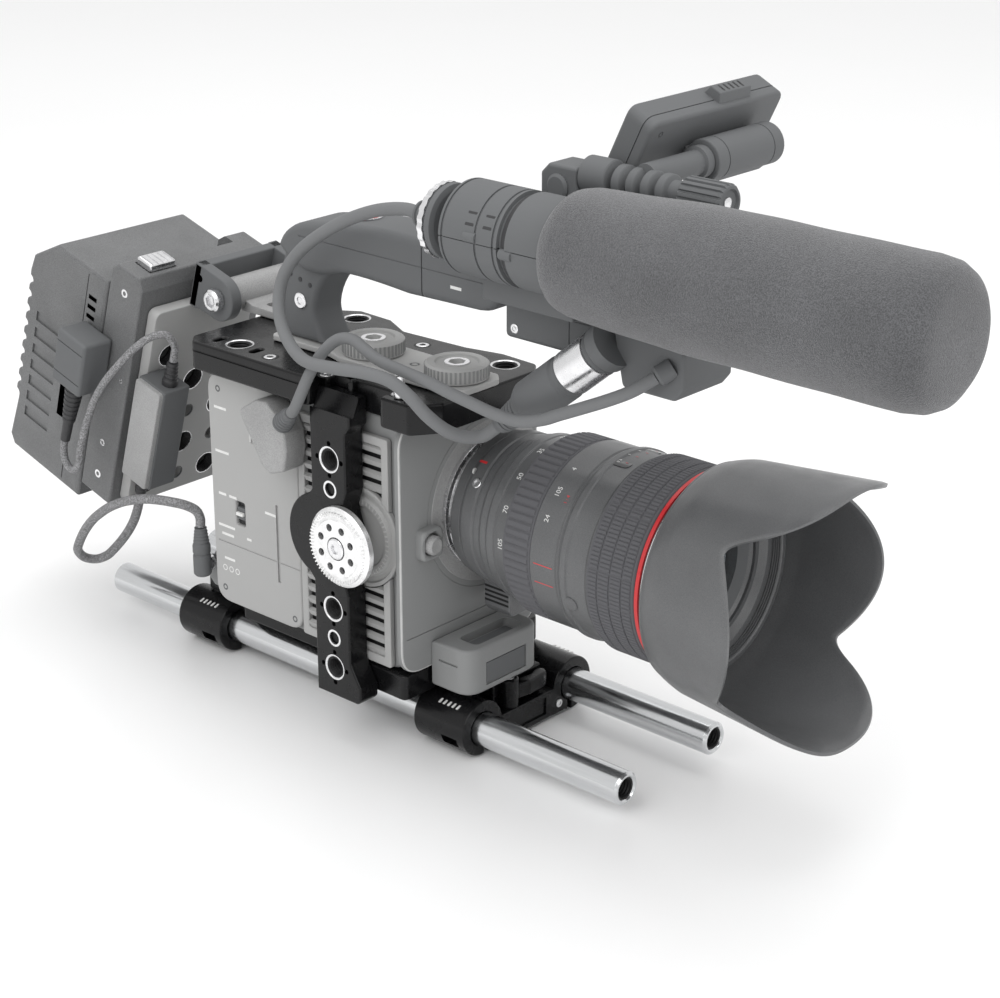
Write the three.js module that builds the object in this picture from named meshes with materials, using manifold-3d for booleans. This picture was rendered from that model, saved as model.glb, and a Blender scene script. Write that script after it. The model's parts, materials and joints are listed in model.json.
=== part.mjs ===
// Cinema camera rig: a caged camcorder on two support rods, with a zoom lens and hood, a top handle
// that carries a shotgun microphone and a small monitor, and a tilted battery plate behind.
// Units are millimetres. While modelling, +X points forward along the lens, +Y is the camera's left,
// +Z is up, X = 0 is at the rods' front tips, Y = 0 is midway between the rods and Z = 0 is their axis.
// The finished rig is moved so that its origin is at the bottom centre of its rigid pieces' box.

import * as THREE from 'three';
import { mergeVertices } from 'three/addons/utils/BufferGeometryUtils.js';
import Module from 'manifold-3d';

const wasm = await Module();
wasm.setup();

// ---------------------------------------------------------------- driving dimensions
const GAP = 0.3;

const ROD = { radius: 7.5, length: 326, spacing: 60, chamfer: 1, bore: 5.2, boreDepth: 12 };
const CLAMP = { wall: 5.2, width: 30, bridgeTop: 1.5, bridgeBottom: -11.5, slit: 3, window: 9, windowHeight: 4.5 };
const FRONT_CLAMP_X = -96;
const REAR_CLAMP_X = -254.5;
const LEVER = { x: -86, y: -8, hub: 4.6, height: 14, arm: 24, armWidth: 6.4, armHeight: 7.5 };

const TOP_PLATE = { rear: -228, front: -83, near: -65, far: 13, bottom: 142, thickness: 13, hole: 4.9 };
const BASE_PLATE = { rear: -266, front: -105, far: 40, bottom: ROD.radius + CLAMP.wall + 0.7, top: 25 };
const POST = { rear: -133, front: -112, inner: -54, thickness: 11, bottom: 10, top: 150, chamferDepth: 7,
  chamferDrop: 15, toe: 6, hole: 4.4, smallHole: 2.8, get outer() { return this.inner - this.thickness; } };
const ROSETTE = { x: -128.5, z: 84, radius: 18, thickness: 5, boss: 19.6, screw: 4.2 };
const STUD = { x: -101, y: -57, radius: 3.1, height: 13 };

const BODY = { rear: -229, front: -108, near: -50.4, far: 29, bottom: 25.3, top: 141.7, corner: 9 };
const SKIN = 2.7;
const SIDE_COVER = { rear: -227, front: -169.2, bottom: 26.5, top: 137.5, corner: 9 };
const SWITCH = { x: -208.5, z: 73, slotWidth: 6, slotHeight: 11.5, knobWidth: 5, knobHeight: 6, travel: 2.5 };
const GRILLE = { front: -113.5, top: 132, pitch: 6.6, slot: 3.1, margin: 5 };
const GRIP_SOCKET = { x: -131, z: 84, radius: 23 };
const BEZEL = { near: -56, far: 31, bottom: 25.6, top: 141.2, thickness: 3.7, corner: 12 };
const FRONT_BLOCK = { near: -38, far: 9, bottom: 16.5, top: 38, reach: 22, corner: 9 };
const REAR_BAY = { near: -44, far: 20, bottom: 25.6, top: 47, reach: 15 };

const LENS_Z = 93;
const BUTTON = { y: -41, z: 85, radius: 4.3, travel: 1.5, housing: 14 };
const HANDLE = { y: -29, width: 26, legWidth: 18, top: 218, foot: 158.4 };
const RECORD = { x: -146, radius: 4.4, floor: 208, travel: 2, height: 8.6 };
const KNOB = { radius: 14, height: 6.8, frontX: -96, rearX: -145 };
const MIC = { y: -60, z: 235.5, foam: 27.5, tube: 10.4, holder: 18.6 };
const HOLDER = { rear: -59, front: -8.5 };
const WINDSCREEN = { rear: -7.5, front: 158, taper: 2.4 };
const PLUG = { tail: [-53, -50, 153], head: [0, -50, 196], radius: 9.3 };
const VIDEO_BOSS = { tip: [28.3, -53.3, 192.4], root: [31.8, -49.4, 195.5] };

const ARM = { y: -28, z: 255, radius: 5.6 };
const MONITOR = { x: 0.5, z: 258.5, lean: 26, near: -20, far: 63, front: -10.1, depth: 13.8,
  bottom: -14.4, top: 15.1, barrel: 8.4 };

const PACK = { x: -300, y: -16.5, z: 60, lean: 17 };
const BATTERY = { width: 77, depth: 55.6, bottom: -17, top: 104, front: -22.6 };
const V_PLATE = { depth: 22, bottom: -8, top: 116, tongue: 24, tongueDepth: 5 };
const CHEESE = { thickness: 6, near: -33, far: 27, bottom: -6, top: 101, hole: 5.4, smallHole: 3, pitch: 18 };
const REGULATOR = { near: -38.5, width: 16, depth: 18.4, bottom: 16, top: 70, gland: 12 };
const HINGE = { x: 24, z: 114, radius: 10.5, pin: 3, near: -14.5, far: 35.5, cheek: 6 };

// Cable runs, each from the plug or gland it leaves to the one it enters.
const MIC_CABLE = [[-86.3, -60, 235.5], [-93, -60, 235.8], [-103.5, -59, 234], [-115.8, -58, 230.4],
  [-131.5, -57, 223.7], [-147.6, -56, 214.7], [-160, -56, 205.6], [-169, -56, 195.5], [-172.3, -57, 186.3],
  [-169.9, -60, 177.7], [-162.6, -64, 171.1], [-151.2, -69, 166.8], [-138.5, -73, 165.6], [-122, -73.5, 166.9],
  [-106.4, -73, 168.5], [-92.2, -72.5, 168.2], [-82.3, -71.5, 163.8], [-75.5, -68.5, 156.5],
  [-70.5, -63, 150], [-66, -57, 146.6], [-61.3, -51.6, 146.5], [-56.9, -50, 149.85], [-53.35, -50, 152.72]];
const MONITOR_CABLE = [[-153.2, -70.1, 139.4], [-149.4, -71.9, 142.4], [-146.2, -72.3, 147.4], [-141.8, -69.3, 159.5],
  [-137.5, -65.5, 168.8], [-130.7, -63, 175], [-123, -62.5, 176.3], [-116, -63, 174.2], [-106, -64, 171.4],
  [-90.5, -65, 170.3], [-77.2, -66, 169.6], [-66, -66, 167.8], [-54, -66, 166.2], [-42, -66, 164.7],
  [-29.4, -65.5, 164.4], [-18, -65, 167.5], [-9.3, -64.5, 171.6], [2, -64, 176.9], [14, -63, 182.7],
  [22, -59.6, 187.1], [28.1, -53.55, 192.2]];
const POWER_IN_CABLE = [[-318.5, -66, 84.9], [-319.5, -66.2, 80.5], [-318.4, -66.8, 75.6], [-314.4, -67.6, 72.4],
  [-309.2, -68.2, 72.8], [-305.6, -68.4, 77], [-304, -68.2, 84], [-301, -67.6, 93.5], [-297, -67.2, 102.5],
  [-292.4, -67.4, 110.4], [-286.8, -67.8, 117.6], [-281, -68, 124.1], [-275.9, -67, 129.9], [-271, -64.8, 135.6],
  [-266, -61.4, 141.6], [-260.8, -56.6, 146.4], [-256.4, -51.2, 147], [-255.4, -47.6, 141.2],
  [-256.7, -47, 136.8], [-257.74, -47, 133.2]];
const POWER_OUT_CABLE = [[-287.83, -47, 60.14], [-290.2, -47, 52.4], [-293.8, -47, 44.8], [-298.3, -47.3, 38],
  [-303.2, -48, 31.8], [-308.6, -49, 25.8], [-313, -50.2, 21.6], [-317.9, -53, 19.2], [-320.2, -58.2, 21.2],
  [-317.8, -63.6, 27.2], [-313, -66, 33.6], [-306, -67.4, 42.2], [-298.5, -68, 49.9], [-291.2, -68, 55.8],
  [-284, -68, 60.6], [-275.4, -68, 65.1], [-267.1, -67.6, 68.4], [-260.2, -66.8, 70.5], [-253, -65.2, 71.6],
  [-247.2, -62.2, 71.3], [-242.4, -57.6, 69.6], [-239.4, -53.6, 66.6], [-238.5, -52, 62.6], [-238.5, -52, 58.4]];
const CAMERA_POWER = [-238.5, -52];

// ---------------------------------------------------------------- materials
const finish = (color, roughness, metalness) => () => (
  new THREE.MeshStandardMaterial({ color, roughness, metalness }));
const BLACK_ANODISED = finish(0x141415, 0.35, 0.6);
const ROD_ALUMINIUM = finish(0xc9cacc, 0.22, 1);
const SILVER = finish(0xd4d5d6, 0.3, 1);
const CAMERA_SHELL = finish(0xa9a9a8, 0.6, 0.1);
const CAMERA_FRONT = finish(0x868787, 0.6, 0.1);
const DARK_PLASTIC = finish(0x5f6061, 0.6, 0);
const LENS_BARREL = finish(0x6d6e6f, 0.5, 0.1);
const LENS_RUBBER = finish(0x57585a, 0.8, 0);
const GLASS = finish(0x9aa3a8, 0.05, 0);
const FOAM = finish(0x7b7d80, 1, 0);
const CABLE = finish(0x6f7072, 0.6, 0);

// ---------------------------------------------------------------- shape helpers
function outward(geometry) {
  const bare = new THREE.BufferGeometry();
  bare.setAttribute('position', geometry.getAttribute('position').clone());
  if (geometry.index) bare.setIndex(geometry.index.clone());
  const merged = mergeVertices(bare, 1e-4);
  const p = merged.getAttribute('position');
  const index = Array.from(merged.index.array);
  const corner = [0, 1, 2].map(() => new THREE.Vector3());
  const kept = [];
  let volume = 0;
  for (let i = 0; i < index.length; i += 3) {
    const face = index.slice(i, i + 3);
    if (face[0] === face[1] || face[1] === face[2] || face[0] === face[2]) continue;
    face.forEach((vertex, k) => corner[k].fromBufferAttribute(p, vertex));
    volume += corner[0].dot(corner[1].clone().cross(corner[2]));
    kept.push(...face);
  }
  if (volume < 0) kept.reverse();
  merged.setIndex(kept);
  merged.computeVertexNormals();
  return merged;
}

function toManifold(geometry) {
  const clean = outward(geometry);
  return new wasm.Manifold(new wasm.Mesh({
    numProp: 3,
    vertProperties: new Float32Array(clean.getAttribute('position').array),
    triVerts: new Uint32Array(clean.index.array),
  }));
}

function fromManifold(solid) {
  const mesh = solid.getMesh();
  const geometry = new THREE.BufferGeometry();
  geometry.setAttribute('position', new THREE.BufferAttribute(new Float32Array(mesh.vertProperties), 3));
  geometry.setIndex(new THREE.BufferAttribute(new Uint32Array(mesh.triVerts), 1));
  return geometry;
}

function cut(base, ...tools) {
  return fromManifold(tools.reduce((solid, tool) => solid.subtract(toManifold(tool)), toManifold(base)));
}

function join(base, ...others) {
  return fromManifold(others.reduce((solid, other) => solid.add(toManifold(other)), toManifold(base)));
}

function outline(points) {
  return new THREE.Shape(points.map(([x, y]) => new THREE.Vector2(x, y)));
}

function rounded(x0, y0, x1, y1, r) {
  const shape = new THREE.Shape();
  shape.moveTo(x0 + r, y0);
  shape.lineTo(x1 - r, y0);
  shape.absarc(x1 - r, y0 + r, r, -Math.PI / 2, 0);
  shape.lineTo(x1, y1 - r);
  shape.absarc(x1 - r, y1 - r, r, 0, Math.PI / 2);
  shape.lineTo(x0 + r, y1);
  shape.absarc(x0 + r, y1 - r, r, Math.PI / 2, Math.PI);
  shape.lineTo(x0, y0 + r);
  shape.absarc(x0 + r, y0 + r, r, Math.PI, Math.PI * 1.5);
  return shape;
}

function roundHole(x, y, radius) {
  return new THREE.Path().absarc(x, y, radius, 0, Math.PI * 2, true);
}

function rectHole(x0, y0, x1, y1) {
  return new THREE.Path([[x0, y0], [x0, y1], [x1, y1], [x1, y0]].map(([x, y]) => new THREE.Vector2(x, y)));
}

function extruded(shape, depth, curveSegments) {
  return new THREE.ExtrudeGeometry(shape, { depth, bevelEnabled: false, curveSegments });
}

// A shape drawn in (X, Y), raised from z0 to z1.
function alongZ(shape, z0, z1, segments = 4) {
  return extruded(shape, z1 - z0, segments).translate(0, 0, z0);
}

// A shape drawn in (X, Z), spanning y0 to y1.
function alongY(shape, y0, y1, segments = 4) {
  return extruded(shape, y1 - y0, segments).rotateX(Math.PI / 2).translate(0, y1, 0);
}

// A shape drawn in (Y, Z), spanning x0 to x1.
function alongX(shape, x0, x1, segments = 4) {
  const cycle = new THREE.Matrix4().set(0, 0, 1, 0, 1, 0, 0, 0, 0, 1, 0, 0, 0, 0, 0, 1);
  return extruded(shape, x1 - x0, segments).applyMatrix4(cycle).translate(x0, 0, 0);
}

function block(x0, y0, z0, x1, y1, z1) {
  return new THREE.BoxGeometry(x1 - x0, y1 - y0, z1 - z0)
    .translate((x0 + x1) / 2, (y0 + y1) / 2, (z0 + z1) / 2);
}

// A turned piece from [radius, station] pairs, its axis along 'x', 'y' or 'z' through centre.
function turned(profile, axis, centre, segments = 32) {
  const points = profile.map(([r, h]) => new THREE.Vector2(r, h));
  const geometry = new THREE.LatheGeometry(points, segments);
  if (axis === 'x') geometry.rotateZ(-Math.PI / 2);
  if (axis === 'z') geometry.rotateX(Math.PI / 2);
  return geometry.translate(...centre);
}

function disc(radius, from, to, axis, centre, segments = 24) {
  return turned([[0, from], [radius, from], [radius, to], [0, to]], axis, centre, segments);
}

function ring(outer, inner, from, to, axis, centre, segments = 24) {
  return turned([[inner, from], [outer, from], [outer, to], [inner, to], [inner, from]], axis, centre, segments);
}

// A turned piece whose axis starts at one point and aims at another.
function aimed(profile, from, towards, segments = 16) {
  const direction = new THREE.Vector3(...towards).sub(new THREE.Vector3(...from)).normalize();
  const spin = new THREE.Quaternion().setFromUnitVectors(new THREE.Vector3(0, 1, 0), direction);
  return turned(profile, 'y', [0, 0, 0], segments).applyQuaternion(spin).translate(...from);
}

// A round outline whose edge is cut into teeth, drawn round the origin.
function toothed(radius, depth, teeth) {
  const shape = new THREE.Shape();
  for (let i = 0; i < teeth; i += 1) {
    for (const [share, r] of [[0, radius], [0.5, radius], [0.58, radius - depth], [0.92, radius - depth]]) {
      const a = (i + share) / teeth * Math.PI * 2;
      if (i + share === 0) shape.moveTo(r, 0);
      else shape.lineTo(r * Math.cos(a), r * Math.sin(a));
    }
  }
  return shape;
}

function cord(points, diameter, steps) {
  const curve = new THREE.CatmullRomCurve3(points.map((p) => new THREE.Vector3(...p)));
  const section = new THREE.Shape().absarc(0, 0, diameter / 2, 0, Math.PI * 2);
  return new THREE.ExtrudeGeometry(section, { steps, curveSegments: 4, bevelEnabled: false, extrudePath: curve });
}

const rig = new THREE.Group();

function piece(name, geometry, material, parent = rig) {
  const mesh = new THREE.Mesh(outward(geometry), material());
  mesh.name = name;
  parent.add(mesh);
  return mesh;
}

// ---------------------------------------------------------------- rods and rod clamps
function rod() {
  const { radius, length, chamfer, bore, boreDepth } = ROD;
  const profile = [[0, -length], [radius - chamfer, -length], [radius, -length + chamfer],
    [radius, -chamfer], [radius - chamfer, 0], [bore, 0], [bore, -boreDepth], [0, -boreDepth]];
  return turned(profile, 'x', [0, 0, 0], 28);
}

function rodClampOutline() {
  const outer = ROD.radius + CLAMP.wall;
  const half = ROD.spacing / 2;
  const meet = (z) => half - Math.sqrt(outer ** 2 - z ** 2);
  const shape = new THREE.Shape();
  shape.moveTo(-meet(CLAMP.bridgeTop), CLAMP.bridgeTop);
  const start = Math.atan2(CLAMP.bridgeTop, half - meet(CLAMP.bridgeTop));
  const stop = Math.PI * 2 + Math.atan2(CLAMP.bridgeBottom, half - meet(CLAMP.bridgeBottom));
  shape.absarc(-half, 0, outer, start, stop, false);
  shape.lineTo(meet(CLAMP.bridgeBottom), CLAMP.bridgeBottom);
  shape.absarc(half, 0, outer, Math.PI * 3 - stop, Math.PI - start, false);
  shape.closePath();
  return shape;
}

function rodClamp(xMiddle) {
  const half = ROD.spacing / 2;
  const x0 = xMiddle - CLAMP.width / 2;
  const x1 = xMiddle + CLAMP.width / 2;
  const slitDepth = ROD.radius + CLAMP.wall + 1;
  const tools = [];
  for (const side of [-1, 1]) {
    const y = side * half;
    tools.push(disc(ROD.radius + GAP, x0 - 1, x1 + 1, 'x', [0, y, 0], 28));
    const slitY = y - side * 2;
    tools.push(block(x0 - 1, slitY - CLAMP.slit / 2, -slitDepth, x1 + 1, slitY + CLAMP.slit / 2, 0));
    const windowX = x1 - CLAMP.window;
    const wallY = y + side * (ROD.radius + CLAMP.wall);
    tools.push(block(windowX - CLAMP.window / 2, Math.min(wallY, y) - 1, -5 - CLAMP.windowHeight / 2,
      windowX + CLAMP.window / 2, Math.max(wallY, y) + 1, -5 + CLAMP.windowHeight / 2));
  }
  return cut(alongX(rodClampOutline(), x0, x1, 10), ...tools);
}

function clampRiser(x0, x1) {
  return block(x0, -16, CLAMP.bridgeTop - 0.5, x1, 16, BASE_PLATE.bottom - GAP);
}

function lever() {
  const bottom = CLAMP.bridgeTop + GAP;
  const armBottom = bottom + 2.5;
  const hub = disc(LEVER.hub, bottom, bottom + LEVER.height, 'z', [0, 0, 0], 20);
  const w = LEVER.armWidth / 2;
  const shape = new THREE.Shape();
  shape.moveTo(-w, 0);
  shape.lineTo(w, 0);
  shape.quadraticCurveTo(w + 3, LEVER.arm * 0.6, w + 0.5, LEVER.arm - w);
  shape.absarc(0.5, LEVER.arm - w, w, 0, Math.PI);
  shape.quadraticCurveTo(2.6 - w, LEVER.arm * 0.55, -w, 0);
  return join(hub, alongZ(shape, armBottom, armBottom + LEVER.armHeight, 6));
}

function rodSupport() {
  for (const [name, side] of [['right_rod', -1], ['left_rod', 1]]) {
    piece(name, rod(), ROD_ALUMINIUM).position.set(0, side * ROD.spacing / 2, 0);
  }
  const frontRear = FRONT_CLAMP_X - CLAMP.width / 2;
  const rearRear = REAR_CLAMP_X - CLAMP.width / 2;
  piece('front_rod_clamp', join(rodClamp(FRONT_CLAMP_X), clampRiser(frontRear, LEVER.x - 12)), BLACK_ANODISED);
  piece('rear_rod_clamp', join(rodClamp(REAR_CLAMP_X), clampRiser(rearRear + 5, rearRear + CLAMP.width)),
    BLACK_ANODISED);
  piece('clamp_lever', lever(), BLACK_ANODISED).position.set(LEVER.x, LEVER.y, 0);
}

// ---------------------------------------------------------------- cage
function topPlate() {
  const { rear, front, near, far, bottom, thickness, hole } = TOP_PLATE;
  const inner = POST.inner + GAP;
  const headRear = POST.rear - GAP;
  const headFront = POST.front + 3 + GAP;
  const shape = outline([[rear + 6, near], [headRear, near], [headRear, inner], [headFront, inner],
    [headFront, near + 2], [front - 8, near + 2], [front, near + 14], [front, far - 8], [front - 6, far],
    [front - 26, far + 1], [front - 44, far - 3], [front - 80, far - 5], [front - 96, far + 3],
    [front - 116, far + 4], [front - 128, far - 4], [rear + 5, far - 8], [rear, far - 14], [rear, near + 6]]);
  for (const [x, y] of [[rear + 25, near + 11], [front - 109, far - 6], [front - 15, far - 10]]) {
    shape.holes.push(roundHole(x, y, hole));
  }
  for (const [x, y] of [[rear + 48, near + 8], [front - 62, near + 8], [front - 60, far - 14]]) {
    shape.holes.push(roundHole(x, y, 2.2));
  }
  const slots = [[rear + 13, near + 10], [rear + 37, near + 10], [front - 121, far - 14]]
    .map(([x, y]) => block(x - 1.6, y - 3.5, bottom - 1, x + 1.6, y + 3.5, bottom + thickness + 1));
  return cut(alongZ(shape, bottom, bottom + thickness, 3), ...slots);
}

function postOutline() {
  const { rear, front, bottom, top, toe } = POST;
  const shape = new THREE.Shape();
  const bossReach = Math.asin(Math.min(1, (ROSETTE.x - rear) / ROSETTE.boss));
  shape.moveTo(rear, bottom);
  shape.lineTo(front + toe - 2, bottom);
  shape.lineTo(front + toe, bottom + 2);
  shape.lineTo(front + toe, bottom + 8);
  shape.lineTo(front, bottom + 18);
  shape.lineTo(front, ROSETTE.z - 24);
  shape.quadraticCurveTo(front - 4.5, ROSETTE.z - 14, front + 1, ROSETTE.z - 9);
  shape.quadraticCurveTo(front + 4.5, ROSETTE.z, front + 1, ROSETTE.z + 9);
  shape.quadraticCurveTo(front - 4.5, ROSETTE.z + 14, front, ROSETTE.z + 24);
  shape.lineTo(front, top - 16);
  shape.lineTo(front + 3, top - 12);
  shape.lineTo(front + 3, top);
  shape.lineTo(rear, top);
  shape.lineTo(rear, ROSETTE.z + ROSETTE.boss * Math.cos(bossReach));
  shape.absarc(ROSETTE.x, ROSETTE.z, ROSETTE.boss, Math.PI / 2 + bossReach, Math.PI * 1.5 - bossReach, false);
  shape.closePath();
  return shape;
}

function rightPost() {
  const { rear, front, outer, thickness, top, chamferDepth, chamferDrop, hole, smallHole } = POST;
  const body = alongY(postOutline(), outer, outer + thickness, 5);
  const chamfer = alongX(outline([[outer - 1, top - chamferDrop - 2], [outer + chamferDepth, top],
    [outer + chamferDepth, top + 1], [outer - 1, top + 1]]), rear - 1, front + 9);
  const middle = (rear + front) / 2 + 1;
  const tools = [chamfer];
  for (const z of [24, 52, 121]) tools.push(disc(hole, outer - 1, outer + thickness + 1, 'y', [middle, 0, z]));
  for (const z of [38, 107.5]) {
    tools.push(disc(smallHole, outer - 1, outer + thickness + 1, 'y', [middle, 0, z], 16));
  }
  tools.push(disc(ROSETTE.screw + GAP, outer - 1, outer + thickness + 1, 'y', [ROSETTE.x, 0, ROSETTE.z]));
  return cut(body, ...tools);
}

function basePlate() {
  const { rear, front, far, bottom, top } = BASE_PLATE;
  const near = POST.inner + GAP;
  const shape = outline([[rear, -24], [rear + 6, -30], [-232, -30], [-222, -42], [POST.rear - 6, -42],
    [POST.rear, near], [front, near], [front, far - 8], [front - 8, far], [-222, far], [-232, 30],
    [rear + 6, 30], [rear, 24]]);
  return alongZ(shape, bottom, top, 3);
}

function rosetteDisc() {
  const { x, z, radius, thickness, screw } = ROSETTE;
  const face = POST.outer - GAP;
  const base = turned([[screw + 1.6, face - thickness], [radius - 5, face - thickness], [radius, face - thickness + 2],
    [radius, face], [screw + GAP, face], [screw + GAP, face - thickness + 2], [screw + 1.6, face - thickness]],
  'y', [x, 0, z], 28);
  const holes = [];
  for (let i = 0; i < 6; i += 1) {
    const a = i * Math.PI / 3;
    const hx = x + (radius - 8) * Math.cos(a);
    holes.push(disc(1.6, face - thickness - 1, face + 1, 'y', [hx, 0, z + (radius - 8) * Math.sin(a)], 8));
  }
  return cut(base, ...holes);
}

function rosetteScrew() {
  const { x, z, thickness, screw } = ROSETTE;
  const face = POST.outer - GAP;
  const end = POST.inner;
  const headTop = face - thickness - 0.6;
  const body = turned([[0, end], [screw, end], [screw, face - thickness + 2 - GAP], [screw + 1, face - thickness],
    [screw + 1, headTop], [0, headTop]], 'y', [x, 0, z], 24);
  const socket = new THREE.CylinderGeometry(2.2, 2.2, 4, 6).translate(x, headTop, z);
  return cut(body, socket);
}

function tapeHook() {
  const z = TOP_PLATE.bottom + TOP_PLATE.thickness + GAP;
  const r = STUD.radius;
  const profile = [[0, z], [r, z], [r, z + 3], [r - 1.3, z + 4], [r - 1.3, z + 9], [r - 0.2, z + 10],
    [r - 0.2, z + 12], [r - 1.4, z + STUD.height], [0, z + STUD.height]];
  return turned(profile, 'z', [STUD.x, STUD.y, 0], 16);
}

function cage() {
  piece('cage_top_plate', topPlate(), BLACK_ANODISED);
  piece('cage_right_post', rightPost(), BLACK_ANODISED);
  piece('cage_base_plate', basePlate(), BLACK_ANODISED);
  piece('rosette_disc', rosetteDisc(), SILVER);
  piece('rosette_screw', rosetteScrew(), SILVER);
  piece('tape_hook', tapeHook(), SILVER);
  piece('hinge_base', hingeBase(), CAMERA_SHELL);
}

// ---------------------------------------------------------------- camera body
const MOUNT_BACK = BODY.front + 2 * GAP + BEZEL.thickness;

function sideCover() {
  const { rear, front, bottom, top, corner } = SIDE_COVER;
  const shape = rounded(rear, bottom, front, top, corner);
  const s = SWITCH;
  shape.holes.push(rectHole(s.x - s.slotWidth / 2, s.z - s.slotHeight / 2, s.x + s.slotWidth / 2,
    s.z + s.slotHeight / 2));
  const arch = new THREE.Path();
  arch.moveTo(-199, 112);
  arch.absarc(-188, 121, 11, Math.PI, 0, true);
  arch.lineTo(-177, 112);
  arch.closePath();
  shape.holes.push(arch);
  return alongY(shape, BODY.near - GAP - SKIN, BODY.near - GAP, 4);
}

function ventGrille() {
  const rear = SIDE_COVER.front + GAP;
  const { front, top, pitch, slot, margin } = GRILLE;
  const bottom = SIDE_COVER.bottom;
  const shape = outline([[rear, bottom], [front, bottom], [front, top], [rear, top]]);
  const count = Math.floor((top - bottom - 2 * margin + pitch - slot) / pitch);
  for (let i = 0; i < count; i += 1) {
    const z = bottom + margin + i * pitch;
    shape.holes.push(rectHole(rear + margin, z, front - margin, z + slot));
  }
  const plate = alongY(shape, BODY.near - GAP - SKIN, BODY.near - GAP);
  const y = [BODY.near - SKIN - 2, BODY.near + 1];
  return cut(plate, disc(GRIP_SOCKET.radius + GAP, y[0], y[1], 'y', [GRIP_SOCKET.x, 0, GRIP_SOCKET.z], 32));
}

function gripSocketCap() {
  const r = GRIP_SOCKET.radius;
  const face = BODY.near - GAP - SKIN;
  const back = BODY.near - GAP;
  return turned([[0, face + 1.2], [r - 9, face + 1.2], [r - 8, face], [r - 5, face], [r - 4, face + 1.4],
    [r - 2, face + 1.4], [r, face + 0.4], [r, back], [0, back]], 'y', [GRIP_SOCKET.x, 0, GRIP_SOCKET.z], 28);
}

function slideSwitch() {
  const { x, z, knobWidth, knobHeight } = SWITCH;
  const back = BODY.near - GAP;
  const base = block(x - knobWidth / 2, back - SKIN + 0.6, z - knobHeight / 2, x + knobWidth / 2, back,
    z + knobHeight / 2);
  const rib = block(x - knobWidth / 2, back - SKIN - 0.7, z - 0.8, x + knobWidth / 2, back - 0.5, z + 0.8);
  return join(base, rib);
}

function frontBezel() {
  const { near, far, bottom, top, thickness, corner } = BEZEL;
  const shape = rounded(near, bottom, far, top, corner);
  shape.holes.push(roundHole(0, LENS_Z, 22));
  const back = BODY.front + GAP;
  const { y, z, radius, housing } = BUTTON;
  const half = housing / 2;
  const collar = alongX(rounded(y - half + 1, z - half, y + half, z + half, 3), back + 1, MOUNT_BACK + 4.2, 3);
  const bore = disc(radius + GAP, back + thickness, MOUNT_BACK + 6, 'x', [0, y, z], 20);
  return cut(join(alongX(shape, back, back + thickness, 6), collar), bore);
}

function frontBlock() {
  const { near, far, bottom, top, reach, corner } = FRONT_BLOCK;
  const back = MOUNT_BACK;
  const front = back + reach;
  const shape = new THREE.Shape();
  shape.moveTo(back, near);
  shape.lineTo(front - corner, near);
  shape.absarc(front - corner, near + corner, corner, -Math.PI / 2, 0);
  shape.lineTo(front, far - corner);
  shape.absarc(front - corner, far - corner, corner, 0, Math.PI / 2);
  shape.lineTo(back, far);
  shape.closePath();
  const recess = block(back + 7, near + 9, top - 4, front - 4, far - 7, top + 1);
  return cut(alongZ(shape, bottom, top, 5), recess);
}

function chassis() {
  const { rear, front, near, far, bottom, top, corner } = BODY;
  return alongY(rounded(rear, bottom, front, top, corner), near, far, 4);
}

function rearBay() {
  const { near, far, bottom, top, reach } = REAR_BAY;
  const front = BODY.rear - GAP;
  return alongY(outline([[front, bottom], [front, top], [front - reach + 6, top - 3], [front - reach, top - 12],
    [front - reach, bottom + 4], [front - reach + 4, bottom]]), near, far);
}

function cameraBody() {
  piece('camera_chassis', chassis(), CAMERA_FRONT);
  piece('right_side_cover', sideCover(), CAMERA_SHELL);
  piece('vent_grille', ventGrille(), CAMERA_SHELL);
  piece('grip_socket_cap', gripSocketCap(), CAMERA_SHELL);
  piece('timecode_switch', slideSwitch(), DARK_PLASTIC);
  piece('front_bezel', frontBezel(), CAMERA_FRONT);
  piece('front_block', frontBlock(), CAMERA_FRONT);
  piece('rear_battery_bay', rearBay(), CAMERA_FRONT);
}

// ---------------------------------------------------------------- lens, from the mount forward
const LENS_AXIS = [0, 0, LENS_Z];
const SEAT = { zoom: 33.7, focus: 35.6, play: 0.7 };
const STATION = { adapter: -98, barrel: -74, zoom: -61, window: -45.5, focus: -14, band: 11.5, front: 16 };

function sleeve(profile, segments = 24) {
  return turned(profile, 'x', LENS_AXIS, segments);
}

function lensAdapter() {
  const { adapter, barrel } = STATION;
  const tube = sleeve([[24, adapter], [32, adapter], [33, adapter + 1], [33, adapter + 6], [34.5, adapter + 8],
    [34.5, barrel - 5], [35.5, barrel - 3], [35.5, barrel - GAP], [24, barrel - GAP], [24, adapter]]);
  const top = LENS_Z - 28;
  const pad = outline([[-13, top - 17], [13, top - 17], [15, top - 14], [15, top], [-15, top], [-15, top - 14]]);
  return join(tube, alongX(pad, adapter + 4, barrel - 5));
}

function lensBarrel() {
  const { barrel, zoom, window, focus, band } = STATION;
  return sleeve([[24, barrel], [36, barrel], [37, barrel + 2], [38, zoom - GAP], [SEAT.zoom, zoom - GAP],
    [SEAT.zoom, window + GAP], [40.5, window + GAP], [40.5, window + 15], [41.8, window + 17],
    [41.8, window + 20], [41.2, window + 20.6], [41.2, focus - GAP], [SEAT.focus, focus - GAP],
    [SEAT.focus, band + GAP - 1], [41.6, band + GAP - 1], [41.6, STATION.front - 1], [40.8, STATION.front],
    [31.5, STATION.front], [31.5, STATION.front - 40], [24, STATION.front - 44], [24, barrel]]);
}

function gripRing(seat, outer, depth, teeth, from, to) {
  const shape = toothed(outer, depth, teeth);
  shape.holes.push(roundHole(0, 0, seat + SEAT.play));
  return alongX(shape, from, to, 12).translate(0, 0, LENS_Z);
}

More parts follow.
